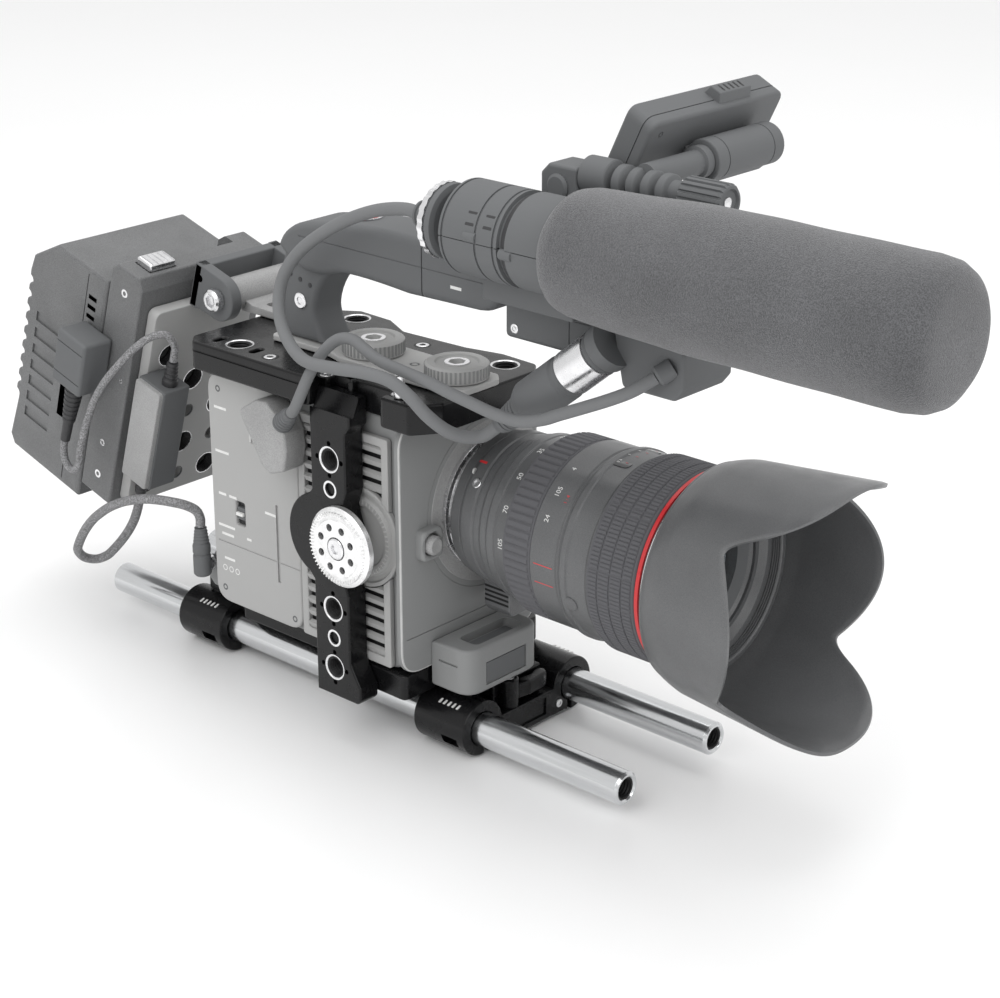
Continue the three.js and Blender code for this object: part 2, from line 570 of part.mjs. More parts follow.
function frontBarrel() {
  const front = STATION.front;
  return sleeve([[24, front - 38], [31, front - 38], [31, front + GAP], [42.6, front + GAP],
    [43.2, front + 1.5], [43.2, front + 7], [39, front + 8], [36, front + 3], [24, front - 4], [24, front - 38]]);
}

function frontElement() {
  const front = STATION.front;
  return sleeve([[0, front - 14], [23.5, front - 14], [23.5, front - 9], [17, front - 6.4], [9, front - 4.8],
    [0, front - 4.3]], 28);
}

// The hood's front edge: two tall petals above and below, two short ones at the sides.
function hoodEdge(angle) {
  const notch = 53;
  const tall = 34;
  const short = 12;
  const split = THREE.MathUtils.degToRad(49);
  const a = Math.abs(((angle + Math.PI / 2) % Math.PI) - Math.PI / 2);
  if (a < split) return notch + tall * (1 - (a / split) ** 3.2);
  return notch + short * Math.sin((a - split) / (Math.PI / 2 - split) * Math.PI / 2) ** 0.8;
}

function hood() {
  const around = 36;
  const along = [0, 0.12, 0.3, 0.65, 1];
  const wall = 2.2;
  const rear = STATION.front + 0.9;
  const seat = 43.2 + GAP;
  const positions = [];
  const rows = [];
  const addRow = (share, inset) => {
    const row = [];
    for (let i = 0; i < around; i += 1) {
      const a = i / around * Math.PI * 2;
      const x = rear + (hoodEdge(a) - rear) * share;
      const flare = Math.min(1, (x - rear) / 10);
      const radius = seat + wall + 3.2 * Math.sqrt(flare) + 6.4 * (x - rear) / 70 - inset;
      row.push(positions.length / 3);
      positions.push(x, radius * Math.sin(a), LENS_Z + radius * Math.cos(a));
    }
    rows.push(row);
  };
  along.forEach((share) => addRow(share, 0));
  [...along].reverse().forEach((share) => addRow(share, wall));
  const index = [];
  for (let r = 0; r < rows.length; r += 1) {
    const here = rows[r];
    const next = rows[(r + 1) % rows.length];
    for (let i = 0; i < around; i += 1) {
      const j = (i + 1) % around;
      index.push(here[i], next[i], next[j], here[i], next[j], here[j]);
    }
  }
  const geometry = new THREE.BufferGeometry();
  geometry.setAttribute('position', new THREE.Float32BufferAttribute(positions, 3));
  geometry.setIndex(index);
  return geometry;
}

function releaseButton() {
  const from = MOUNT_BACK + BUTTON.travel + GAP;
  return turned([[0, from], [BUTTON.radius, from], [BUTTON.radius, from + 4.2], [BUTTON.radius - 1, from + 5],
    [0, from + 5]], 'x', [0, BUTTON.y, BUTTON.z], 20);
}

function lens() {
  const s = STATION;
  piece('lens_mount', ring(31, 24, MOUNT_BACK, s.adapter - GAP, 'x', LENS_AXIS), SILVER);
  piece('lens_adapter', lensAdapter(), LENS_BARREL);
  piece('lens_barrel', lensBarrel(), LENS_BARREL);
  piece('zoom_ring', gripRing(SEAT.zoom, 40.4, 0.9, 30, s.zoom, s.window), LENS_RUBBER);
  piece('focus_ring', gripRing(SEAT.focus, 42.6, 0.8, 32, s.focus, s.band - 1), LENS_RUBBER);
  piece('front_barrel', frontBarrel(), LENS_BARREL);
  piece('front_element', frontElement(), GLASS);
  piece('lens_hood', hood(), LENS_BARREL);
  piece('lens_release_button', releaseButton(), CAMERA_FRONT);
}

// ---------------------------------------------------------------- handle
function handleGrip() {
  const { y, width, legWidth, top, foot } = HANDLE;
  const bar = new THREE.Shape();
  bar.moveTo(-190, 200);
  bar.quadraticCurveTo(-186, 210, -172, 213);
  bar.quadraticCurveTo(-140, top + 1, -110, top);
  bar.lineTo(-72, top - 1);
  bar.quadraticCurveTo(-60, top - 2, -60, 207);
  bar.quadraticCurveTo(-60, 195, -72, 194);
  bar.lineTo(-112, 193);
  bar.quadraticCurveTo(-150, 196, -156, 193);
  bar.quadraticCurveTo(-176, 186, -190, 200);
  const leg = new THREE.Shape();
  leg.moveTo(-194, foot);
  leg.lineTo(-165, foot);
  leg.quadraticCurveTo(-173, 168, -172, 174);
  leg.quadraticCurveTo(-170, 186, -156, 196);
  leg.lineTo(-164, 206);
  leg.lineTo(-188, 202);
  leg.quadraticCurveTo(-197, 180, -194, foot);
  const grip = join(alongY(bar, y - width / 2, y + width / 2, 6), alongY(leg, y - legWidth / 2, y + legWidth / 2, 6));
  return cut(grip, disc(RECORD.radius + GAP, RECORD.floor, top + 5, 'z', [RECORD.x, y, 0], 20));
}

function handleFoot() {
  const { y, foot } = HANDLE;
  const bottom = TOP_PLATE.bottom + TOP_PLATE.thickness + GAP;
  const shape = outline([[-197, y - 12], [-160, y - 12], [-152, y - 14.5], [-86, y - 14.5], [-81.5, y - 10],
    [-81.5, y + 10], [-86, y + 14.5], [-152, y + 14.5], [-160, y + 12], [-197, y + 12]]);
  return alongZ(shape, bottom, foot - GAP);
}

function footKnob(xMiddle) {
  const { y, foot } = HANDLE;
  const body = alongZ(toothed(KNOB.radius, 0.7, 20), foot, foot + KNOB.height);
  const socket = new THREE.CylinderGeometry(3.2, 3.2, 5, 6).rotateX(Math.PI / 2).translate(0, 0, foot + KNOB.height);
  return cut(body, socket).translate(xMiddle, y, 0);
}

function recordButton() {
  const { x, radius, floor, travel, height } = RECORD;
  const from = floor + travel + GAP;
  return turned([[0, from], [radius, from], [radius, from + height - 0.8], [radius - 0.8, from + height],
    [0, from + height]], 'z', [x, HANDLE.y, 0], 20);
}

function audioBlock() {
  const arm = block(-60 + GAP, -40, 186, 9, -20, 214);
  const box = alongY(outline([[9, 183], [34, 183], [38, 188], [38, 202], [32, 206], [4, 206]]), -50, -20);
  const { tail, head, radius } = PLUG;
  const away = tail.map((value, k) => 2 * value - head[k]);
  const socket = aimed([[0, -6.5], [radius + 0.7, -6.5], [radius + 0.7, -GAP], [0, -GAP]], head, away, 20);
  const boss = aimed([[0, 0], [3.4, 0], [4, 1], [4, 7], [0, 7]], VIDEO_BOSS.tip, VIDEO_BOSS.root, 14);
  return join(arm, box, socket, boss);
}

function handle() {
  piece('handle_grip', handleGrip(), DARK_PLASTIC);
  piece('handle_foot', handleFoot(), CAMERA_SHELL);
  piece('front_foot_knob', footKnob(KNOB.frontX), CAMERA_SHELL);
  piece('rear_foot_knob', footKnob(KNOB.rearX), CAMERA_SHELL);
  piece('audio_input_block', audioBlock(), DARK_PLASTIC);
  piece('record_button', recordButton(), SILVER);
}

// ---------------------------------------------------------------- microphone
function micAxis(profile, segments = 20) {
  return turned(profile, 'x', [0, MIC.y, MIC.z], segments);
}

function holderHalf(upper) {
  const { y, z, tube, holder } = MIC;
  const inner = tube + 1.2;
  const split = GAP / 2;
  const shape = new THREE.Shape();
  const a = Math.asin(split / holder);
  const b = Math.asin(split / inner);
  shape.absarc(y, z, holder, a, Math.PI - a, false);
  shape.absarc(y, z, inner, Math.PI - b, b, true);
  shape.closePath();
  const half = alongX(shape, HOLDER.rear, HOLDER.front, 14);
  if (upper) return half;
  half.translate(0, -y, -z).rotateX(Math.PI).translate(0, y, z);
  return join(half, block(HOLDER.rear + 2, y + 4, z - 30, HOLDER.front - 2, -42.4, z - inner - 2));
}

function micBody() {
  const { tube } = MIC;
  return micAxis([[0, -66], [tube - 1.4, -66], [tube, -64], [tube, 118], [tube - 2, 122], [0, 122]]);
}

function micConnector() {
  return micAxis([[0, -86], [4, -86], [5.4, -85], [5.4, -80], [8.6, -78.4], [10.5, -75.6], [14.4, -73.5],
    [15.2, -71], [15.2, -67], [12.8, -66.3], [0, -66.3]]);
}

function windscreen() {
  const { foam, tube } = MIC;
  const bore = tube + GAP;
  const { rear, front, taper } = WINDSCREEN;
  const tail = foam - taper;
  return micAxis([[bore, rear], [tail - 6, rear], [tail - 1.5, rear + 2.5], [tail, rear + 8.5], [foam, rear + 60],
    [foam, front - 13], [foam - 1, front - 7], [foam - 4, front - 2.5], [foam - 9, front - 0.5], [0, front],
    [0, 123], [bore, 123], [bore, rear]], 28);
}

function xlrPlug() {
  const { tail, head, radius: r } = PLUG;
  const length = new THREE.Vector3(...tail).distanceTo(new THREE.Vector3(...head));
  return aimed([[0, 0], [3.6, 0], [4.6, 4], [5.4, 14], [7, 17], [r - 0.8, 20], [r, 22], [r, length - 24],
    [r - 0.7, length - 23], [r - 0.7, length - 21], [r, length - 20], [r, length - 1], [r - 1, length], [0, length]],
  tail, head, 16);
}

function microphone() {
  piece('mic_holder_base', holderHalf(false), DARK_PLASTIC);
  piece('mic_holder_cap', holderHalf(true), DARK_PLASTIC);
  piece('mic_body', micBody(), DARK_PLASTIC);
  piece('mic_connector', micConnector(), DARK_PLASTIC);
  piece('windscreen', windscreen(), FOAM);
  piece('xlr_plug', xlrPlug(), DARK_PLASTIC);
}

// ---------------------------------------------------------------- monitor and its arm
function armBase() {
  const top = ARM.z + 3.5;
  const z0 = HANDLE.top + GAP;
  const shape = outline([[-45, z0], [-27, z0], [-27, top], [-41, top], [-45, top - 4]]);
  const lug = block(-62, -37, HANDLE.top + GAP, -40, -19, HANDLE.top + 8);
  return join(alongY(shape, ARM.y - 7.5, ARM.y + 7.5), lug);
}

function monitorArm() {
  const { y, z, radius } = ARM;
  const profile = [[0, -26.7], [radius + 2, -26.7], [radius + 2, -14]];
  for (const x of [-13, -6, 1, 8]) {
    profile.push([radius - 1.6, x], [radius - 1.6, x + 1.6], [radius + 1, x + 2], [radius + 1, x + 5.6]);
  }
  profile.push([radius - 1, 14.5], [radius - 1, 20], [0, 20]);
  const rodPart = turned(profile, 'x', [0, y, z], 14);
  const neck = turned([[0, y], [5, y], [5, MONITOR.near + 22], [6.4, MONITOR.near + 22.4],
    [6.4, MONITOR.near + 26.4], [0, MONITOR.near + 26.4]], 'y', [MONITOR.x, 0, MONITOR.z], 16);
  return join(rodPart, neck);
}

function armKnob() {
  const body = alongX(toothed(7.4, 0.7, 18), 20.3, 40).translate(0, ARM.y, ARM.z);
  const dish = disc(5.2, 38.8, 41, 'x', [0, ARM.y, ARM.z], 20);
  return cut(body, dish);
}

function monitorPanel() {
  const { front, depth, bottom, top, near, far } = MONITOR;
  const panel = alongX(rounded(near, bottom, far, top, 5), front - depth, front, 5);
  const latch = alongY(outline([[front - depth + 3, top - 1], [front - 1.5, top - 1], [front - 3.5, top + 4],
    [front - depth + 5, top + 4]]), near + 42, near + 62);
  return join(panel, latch);
}

function monitorBarrel() {
  const { barrel, front } = MONITOR;
  const shape = new THREE.Shape();
  shape.absarc(0, 0, barrel, -Math.PI * 0.35, Math.PI, false);
  shape.lineTo(front + GAP, 0);
  shape.lineTo(front + GAP, -barrel);
  shape.lineTo(2, -barrel - 3);
  shape.closePath();
  return alongY(shape, MONITOR.near + 26.8, MONITOR.near + 69, 8);
}

function monitor() {
  piece('monitor_arm_base', armBase(), DARK_PLASTIC);
  piece('monitor_arm', monitorArm(), DARK_PLASTIC);
  piece('monitor_arm_knob', armKnob(), DARK_PLASTIC);
  const tilted = new THREE.Group();
  tilted.position.set(MONITOR.x, 0, MONITOR.z);
  tilted.rotation.y = THREE.MathUtils.degToRad(MONITOR.lean);
  rig.add(tilted);
  piece('monitor_panel', monitorPanel(), DARK_PLASTIC, tilted);
  piece('monitor_hinge_barrel', monitorBarrel(), DARK_PLASTIC, tilted);
}

// ---------------------------------------------------------------- battery, its plate and regulator
function battery() {
  const { width, depth, bottom, top, front } = BATTERY;
  const rear = front - depth;
  const shape = new THREE.Shape();
  shape.moveTo(rear + 4, bottom);
  shape.lineTo(front, bottom);
  shape.lineTo(front, top);
  shape.lineTo(rear + 18, top);
  shape.lineTo(rear + 1.5, top - 14);
  for (let i = 0; i < 9; i += 1) {
    const z = top - 22 - i * 8;
    shape.lineTo(rear, z);
    shape.lineTo(rear, z - 3.6);
    shape.lineTo(rear + 2.4, z - 4.6);
    shape.lineTo(rear + 2.4, z - 7);
  }
  shape.lineTo(rear, bottom + 5);
  shape.closePath();
  const body = alongY(shape, -width / 2, width / 2);
  const t = V_PLATE.tongue / 2;
  const wedge = alongX(outline([[-t, 30], [t, 30], [t + 2.5, 84], [-t - 2.5, 84]]), front - 1,
    front + V_PLATE.tongueDepth);
  return join(body, wedge);
}

function vPlate() {
  const { depth, bottom, top, tongue, tongueDepth } = V_PLATE;
  const half = BATTERY.width / 2;
  const body = alongY(outline([[-depth, bottom], [0, bottom], [0, top - 6], [-3, top], [-depth + 4, top],
    [-depth, top - 4]]), -half, half);
  const t = tongue / 2 + 3;
  const slot = block(-depth - 1, -t, 28, -depth + tongueDepth + 1, t, top + 1);
  const pocket = block(-16, -half + 8, top - 7, -5, -half + 24, top + 1);
  return cut(body, slot, pocket);
}

function batteryLatch() {
  const half = BATTERY.width / 2;
  const top = V_PLATE.top;
  return block(-15.6, -half + 8.4, top - 4, -5.4, -half + 23.6, top + 3.5);
}

function cheesePlate() {
  const { thickness, near, far, bottom, top, hole, smallHole, pitch } = CHEESE;
  const shape = rounded(near, bottom, far, top, 4);
  const rows = Math.floor((top - bottom - 20) / pitch) + 1;
  for (let row = 0; row < rows; row += 1) {
    for (let k = 0; k < 3; k += 1) {
      shape.holes.push(roundHole(near + 11.5 + k * pitch, bottom + 10 + row * pitch,
        (row + k) % 2 ? smallHole : hole));
    }
  }
  return alongX(shape, GAP, GAP + thickness, 4);
}

function regulatorBox() {
  const { near, width, depth, bottom, top, gland } = REGULATOR;
  const back = CHEESE.thickness + 2 * GAP;
  const middle = near + width / 2;
  const strainRelief = (x, from, to) => turned([[0, from], [3.6, from], [3.6, from + (to - from) * 0.3], [2.6, to],
    [0, to]], 'z', [back + x, middle, 0], 14);
  const lid = alongY(rounded(back + 0.6, bottom + 0.6, back + depth - 0.6, top - 0.6, 1.6), near - 2.3, near + 1, 2);
  return join(alongZ(rounded(back, near, back + depth, near + width, 1.6), bottom, top, 2), lid,
    strainRelief(depth - 6, top - 1, top + gland), strainRelief(5, bottom + 1, bottom - gland));
}

function hingeCheeks() {
  const { x, z, radius, near, far, cheek, pin } = HINGE;
  const back = CHEESE.thickness + 2 * GAP;
  const cheekShape = () => {
    const shape = new THREE.Shape();
    shape.moveTo(back, z - 12);
    shape.lineTo(x - 4, z - radius);
    shape.absarc(x, z, radius, -Math.PI / 2, Math.PI / 2, false);
    shape.lineTo(back, z + radius);
    shape.closePath();
    shape.holes.push(roundHole(x, z, pin + GAP));
    return shape;
  };
  return join(alongY(cheekShape(), near, near + cheek, 6), alongY(cheekShape(), far - cheek, far, 6),
    block(back, near, z - 12, back + 5, far, z + radius));
}

// The fixed half of the hinge: a knuckle between the cheeks and an arm screwed to the top plate.
function hingeBase() {
  const { near, far, cheek, pin } = HINGE;
  const lean = THREE.MathUtils.degToRad(PACK.lean);
  const x = PACK.x + HINGE.x * Math.cos(lean) + HINGE.z * Math.sin(lean);
  const z = PACK.z - HINGE.x * Math.sin(lean) + HINGE.z * Math.cos(lean);
  const y0 = PACK.y + near + cheek + GAP;
  const y1 = PACK.y + far - cheek - GAP;
  const seat = TOP_PLATE.bottom + TOP_PLATE.thickness + GAP;
  const knuckle = new THREE.Shape().absarc(x, z, 8, 0, Math.PI * 2);
  const arm = alongY(outline([[x, seat], [x + 40, seat], [x + 40, seat + 3.5], [x + 12, seat + 4], [x, seat + 8]]),
    y0 + 4, y1 - 10);
  const bore = disc(pin + GAP, y0 - 1, y1 + 1, 'y', [x, 0, z], 16);
  return cut(join(alongY(knuckle, y0, y1, 8), arm), bore);
}

// A square right-angle plug on the plate's near side, with a ribbed boot that points down and back.
function powerTapPlug() {
  const near = -BATTERY.width / 2;
  const body = block(-34, near - 17, 50, -13.5, near - GAP, 78);
  const boot = aimed([[0, 0], [4.6, 0], [4.6, 3], [4, 3.5], [4, 5], [4.4, 5.5], [4.4, 7.5], [3.7, 8], [3.7, 9.5],
    [4.1, 10], [4.1, 12], [2.4, 32.4], [0, 32.4]], [-23, near - 11, 51], [-24.9, near - 11, 18.7], 14);
  return join(body, boot);
}

function powerPack() {
  const pack = new THREE.Group();
  pack.position.set(PACK.x, PACK.y, PACK.z);
  pack.rotation.y = THREE.MathUtils.degToRad(PACK.lean);
  rig.add(pack);
  const { near, far, x, z, pin } = HINGE;
  piece('battery', battery(), CAMERA_SHELL, pack);
  piece('battery_plate', vPlate(), CAMERA_SHELL, pack);
  piece('battery_latch', batteryLatch(), SILVER, pack);
  piece('cheese_plate', cheesePlate(), CAMERA_SHELL, pack);
  piece('regulator_box', regulatorBox(), DARK_PLASTIC, pack);
  piece('hinge_cheeks', hingeCheeks(), DARK_PLASTIC, pack);
  piece('hinge_lock_screw', turned([[0, near - 4.5], [4.2, near - 4.5], [5.2, near - 3.5], [5.2, near - GAP],
    [pin, near - GAP], [pin, far - 1], [0, far - 1]], 'y', [x, 0, z], 18), SILVER, pack);
  piece('power_tap_plug', powerTapPlug(), DARK_PLASTIC, pack);
}

// ---------------------------------------------------------------- cables and their plugs
// A right-angle plug in the arched recess, with a boss that leads its cable past the top plate's edge.
function monitorPlug() {
  const face = BODY.near - GAP - SKIN - GAP;
  const shape = outline([[-192, 130.5], [-181, 137.4], [-174.4, 138], [-166, 132], [-163, 126], [-162, 118],
    [-164, 108.4], [-173, 105.2], [-178, 108]]);
  const boss = aimed([[0, 0], [4.6, 0], [4.6, 5], [3.2, 16.5], [0, 16.5]], [-166, -64, 130], MONITOR_CABLE[0]);
  return join(alongY(shape, face - 13, face), boss);
}

function cameraPowerPlug() {
  const [x, y] = CAMERA_POWER;
  const barrel = turned([[0, 34], [3.4, 34], [4.2, 35], [4.2, 50], [3.2, 58], [0, 58]], 'z', [x, y, 0], 18);
  return join(barrel, disc(3.2, y, REAR_BAY.near - GAP, 'y', [x, 0, 39], 16));
}

function cables() {
  piece('monitor_plug', monitorPlug(), DARK_PLASTIC);
  piece('camera_power_plug', cameraPowerPlug(), DARK_PLASTIC);
  piece('mic_cable', cord(MIC_CABLE, 5.4, 26), CABLE);
  piece('monitor_cable', cord(MONITOR_CABLE, 5, 24), CABLE);
  piece('power_in_cable', cord(POWER_IN_CABLE, 3.6, 20), CABLE);
  piece('power_out_cable', cord(POWER_OUT_CABLE, 4.5, 22), CABLE);
}

powerPack();
rodSupport();
cage();
cameraBody();
lens();
handle();
microphone();
monitor();
cables();

// ---------------------------------------------------------------- origin at the bottom centre
function bottomCentre(pieces) {
  const box = new THREE.Box3();
  pieces.forEach((mesh) => box.expandByObject(mesh, true));
  return new THREE.Vector3((box.min.x + box.max.x) / 2, (box.min.y + box.max.y) / 2, box.min.z);
}

rig.updateMatrixWorld(true);
const rigid = [];
rig.traverse((node) => {
  if (node.isMesh && !node.name.endsWith('_cable')) rigid.push(node);
});
rig.position.copy(bottomCentre(rigid)).negate();

const root = new THREE.Group();
root.add(rig);

export default root;
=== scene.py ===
"""Cinema camera rig: the detailed look of a caged camera on two support rods.

Lengths in the sizes and in the piece functions are millimetres, in a design frame whose X = 0 is at the
rods' front tips, Y = 0 midway between the rods and Z = 0 on their axis. PLACE turns them into the row frame.
"""

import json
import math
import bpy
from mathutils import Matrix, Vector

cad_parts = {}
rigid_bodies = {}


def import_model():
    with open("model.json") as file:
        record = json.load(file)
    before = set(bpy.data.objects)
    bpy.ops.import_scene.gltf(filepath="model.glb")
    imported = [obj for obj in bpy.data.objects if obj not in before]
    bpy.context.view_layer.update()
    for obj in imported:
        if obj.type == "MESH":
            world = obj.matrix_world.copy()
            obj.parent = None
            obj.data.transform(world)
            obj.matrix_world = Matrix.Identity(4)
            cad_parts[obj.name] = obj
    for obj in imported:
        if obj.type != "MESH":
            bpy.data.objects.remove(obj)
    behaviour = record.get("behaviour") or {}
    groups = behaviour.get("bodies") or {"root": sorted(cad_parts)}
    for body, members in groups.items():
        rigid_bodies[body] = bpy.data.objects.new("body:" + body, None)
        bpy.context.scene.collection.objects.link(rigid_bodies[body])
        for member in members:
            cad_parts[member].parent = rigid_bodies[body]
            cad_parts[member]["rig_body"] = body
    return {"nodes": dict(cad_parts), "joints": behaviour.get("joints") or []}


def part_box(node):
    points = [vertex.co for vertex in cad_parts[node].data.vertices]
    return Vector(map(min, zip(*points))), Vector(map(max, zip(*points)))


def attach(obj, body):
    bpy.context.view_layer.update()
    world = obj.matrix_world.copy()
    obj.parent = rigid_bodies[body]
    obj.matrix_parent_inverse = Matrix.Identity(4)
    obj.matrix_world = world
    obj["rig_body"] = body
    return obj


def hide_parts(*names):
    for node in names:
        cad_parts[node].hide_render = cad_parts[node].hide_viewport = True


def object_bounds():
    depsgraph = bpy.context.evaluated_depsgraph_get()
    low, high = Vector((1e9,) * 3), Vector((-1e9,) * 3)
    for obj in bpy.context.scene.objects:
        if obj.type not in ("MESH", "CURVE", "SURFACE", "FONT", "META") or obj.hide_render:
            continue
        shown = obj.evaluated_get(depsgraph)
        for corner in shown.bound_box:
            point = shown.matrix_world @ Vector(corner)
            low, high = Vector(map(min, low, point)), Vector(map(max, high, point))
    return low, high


bl_info = {
    "name": "Cinema Camera Rig",
    "version": (1, 0, 0),
    "blender": (4, 5, 0),
    "location": "3D View > Sidebar > Camera Rig",
    "description": "Builds a caged cinema camera with its lens, handle, microphone, monitor and battery",
    "category": "Add Mesh",
}

import bmesh
import bpy
from bpy.props import BoolProperty, FloatProperty, FloatVectorProperty, IntProperty, PointerProperty
from mathutils import Matrix, Vector

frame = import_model()
CAD_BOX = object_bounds()

# ---- places taken from the frame
BODY = "caged_camera"
ROD_LOW, ROD_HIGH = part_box("right_rod")
ROD_SPACING = 60.0
ORIGIN = Vector((ROD_HIGH.x, (ROD_LOW.y + ROD_HIGH.y) / 2 + ROD_SPACING / 2000, (ROD_LOW.z + ROD_HIGH.z) / 2))
PLACE = Matrix.Translation(ORIGIN) @ Matrix.Scale(0.001, 4)
JOINTS = {joint["name"]: joint for joint in frame["joints"]}
X, Y, Z = 0, 1, 2


def span(node):
    """A node's lowest and highest corners in millimetres of the design frame."""
    low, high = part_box(node)
    return (low - ORIGIN) * 1000, (high - ORIGIN) * 1000


def joint_place(name):
    return (Vector(JOINTS[name]["pos_m"]) - ORIGIN) * 1000


PLATE_LEAN = math.atan2(JOINTS["battery_slide"]["axis"][0], JOINTS["battery_slide"]["axis"][2])
PLATE_PIVOT = Vector((24, 6.5, 114))
PACK_TURN = Matrix.Rotation(PLATE_LEAN, 4, "Y")
PACK = PLACE @ Matrix.Translation(joint_place("hinge_lock_turn") - PACK_TURN @ PLATE_PIVOT) @ PACK_TURN
MONITOR_LEAN = math.radians(26)
TILT = joint_place("monitor_tilt")
MONITOR = PLACE @ Matrix.Translation((TILT.x, 0, TILT.z)) @ Matrix.Rotation(MONITOR_LEAN, 4, "Y")


# ---- sizes and colours a user may change
class RigSizes(bpy.types.PropertyGroup):
    """Sizes of the visible detail, in millimetres."""

    edge: FloatProperty(name="Edge rounding", description="Radius of machined edges", default=0.6, min=0.1,
        max=2)
    round_steps: IntProperty(name="Round steps", description="Segments of a full turn", default=112, min=24,
        max=256)
    zoom_ribs: IntProperty(name="Zoom ribs", description="Ribs round the zoom ring", default=72, min=24,
        max=160)
    focus_ribs: IntProperty(name="Focus ribs", description="Ribs round the focus ring", default=150, min=40,
        max=240)
    louvres: IntProperty(name="Louvres", description="Slats in the vent grille", default=17, min=6, max=30)
    hood_wall: FloatProperty(name="Hood wall", description="Thickness of the lens hood", default=2.0, min=1,
        max=4)
    knob_teeth: IntProperty(name="Knob teeth", description="Teeth round each foot knob", default=44, min=12,
        max=90)
    foam_grain: FloatProperty(name="Foam grain", description="Grain of the windscreen foam", default=0.45,
        min=0.2, max=3)
    marks: BoolProperty(name="Marks", description="Draw the plain marks and the scale numbers", default=True)


class RigColours(bpy.types.PropertyGroup):
    """Main finishes of the rig."""

    anodised: FloatVectorProperty(name="Anodised black", description="Cage and clamps", subtype="COLOR",
        default=(0.004, 0.004, 0.0045))
    rod: FloatVectorProperty(name="Rod metal", description="Support rods", subtype="COLOR",
        default=(0.66, 0.67, 0.68))
    silver: FloatVectorProperty(name="Bright metal", description="Rosette and screws", subtype="COLOR",
        default=(0.8, 0.8, 0.81))
    shell: FloatVectorProperty(name="Camera side", description="Side cover", subtype="COLOR",
        default=(0.4, 0.4, 0.395))
    front: FloatVectorProperty(name="Camera front", description="Bezel, front block and chassis",
        subtype="COLOR", default=(0.2, 0.205, 0.205))
    dark: FloatVectorProperty(name="Dark plastic", description="Handle, monitor and plugs", subtype="COLOR",
        default=(0.14, 0.142, 0.145))
    lens: FloatVectorProperty(name="Lens barrel", description="Barrel and hood", subtype="COLOR",
        default=(0.105, 0.107, 0.11))
    battery: FloatVectorProperty(name="Battery case", description="Battery and its plate", subtype="COLOR",
        default=(0.13, 0.132, 0.134))
    foam: FloatVectorProperty(name="Foam", description="Windscreen", subtype="COLOR",
        default=(0.1, 0.101, 0.106))
    accent: FloatVectorProperty(name="Accent ring", description="Coloured ring of the lens", subtype="COLOR",
        default=(0.62, 0.03, 0.035))


def sizes():
    return bpy.context.scene.rig_sizes


def colours():
    return bpy.context.scene.rig_colours


# ---- materials
def node_of(tree, kind, **values):
    node = tree.nodes.new(kind)
    for name, value in values.items():
        if hasattr(node, name):
            setattr(node, name, value)
        else:
            node.inputs[name].default_value = value
    return node


def noise(tree, coordinates, per_mm, detail=3.0, stretch=(1, 1, 1)):
    """Noise whose grain has that many cells in a millimetre, stretched along each axis."""
    mapping = node_of(tree, "ShaderNodeMapping")
    mapping.inputs["Scale"].default_value = [1000 * per_mm * s for s in stretch]
    tree.links.new(coordinates, mapping.inputs["Vector"])
    field = node_of(tree, "ShaderNodeTexNoise", Scale=1.0, Detail=detail)
    tree.links.new(mapping.outputs["Vector"], field.inputs["Vector"])
    return field.outputs["Fac"]


def ranged(tree, value, low, high, start=0.3, stop=0.7):
    """A value between start and stop spread over low to high."""
    spread = node_of(tree, "ShaderNodeMapRange")
    for name, number in (("From Min", start), ("From Max", stop), ("To Min", low), ("To Max", high)):
        spread.inputs[name].default_value = number
    tree.links.new(value, spread.inputs["Value"])
    return spread.outputs["Result"]


def two_tones(tree, factor, dark, light):
    mix = tree.nodes.new("ShaderNodeMix")
    mix.data_type = "RGBA"
    tree.links.new(factor, mix.inputs["Factor"])
    mix.inputs["A"].default_value = (*dark, 1)
    mix.inputs["B"].default_value = (*light, 1)
    return mix.outputs["Result"]


def bumped(tree, shader, height, depth_mm, after=None):
    bump = node_of(tree, "ShaderNodeBump")
    bump.inputs["Distance"].default_value = depth_mm / 1000
    tree.links.new(height, bump.inputs["Height"])
    if after is not None:
        tree.links.new(after, bump.inputs["Normal"])
    tree.links.new(bump.outputs["Normal"], shader.inputs["Normal"])
    return bump.outputs["Normal"]


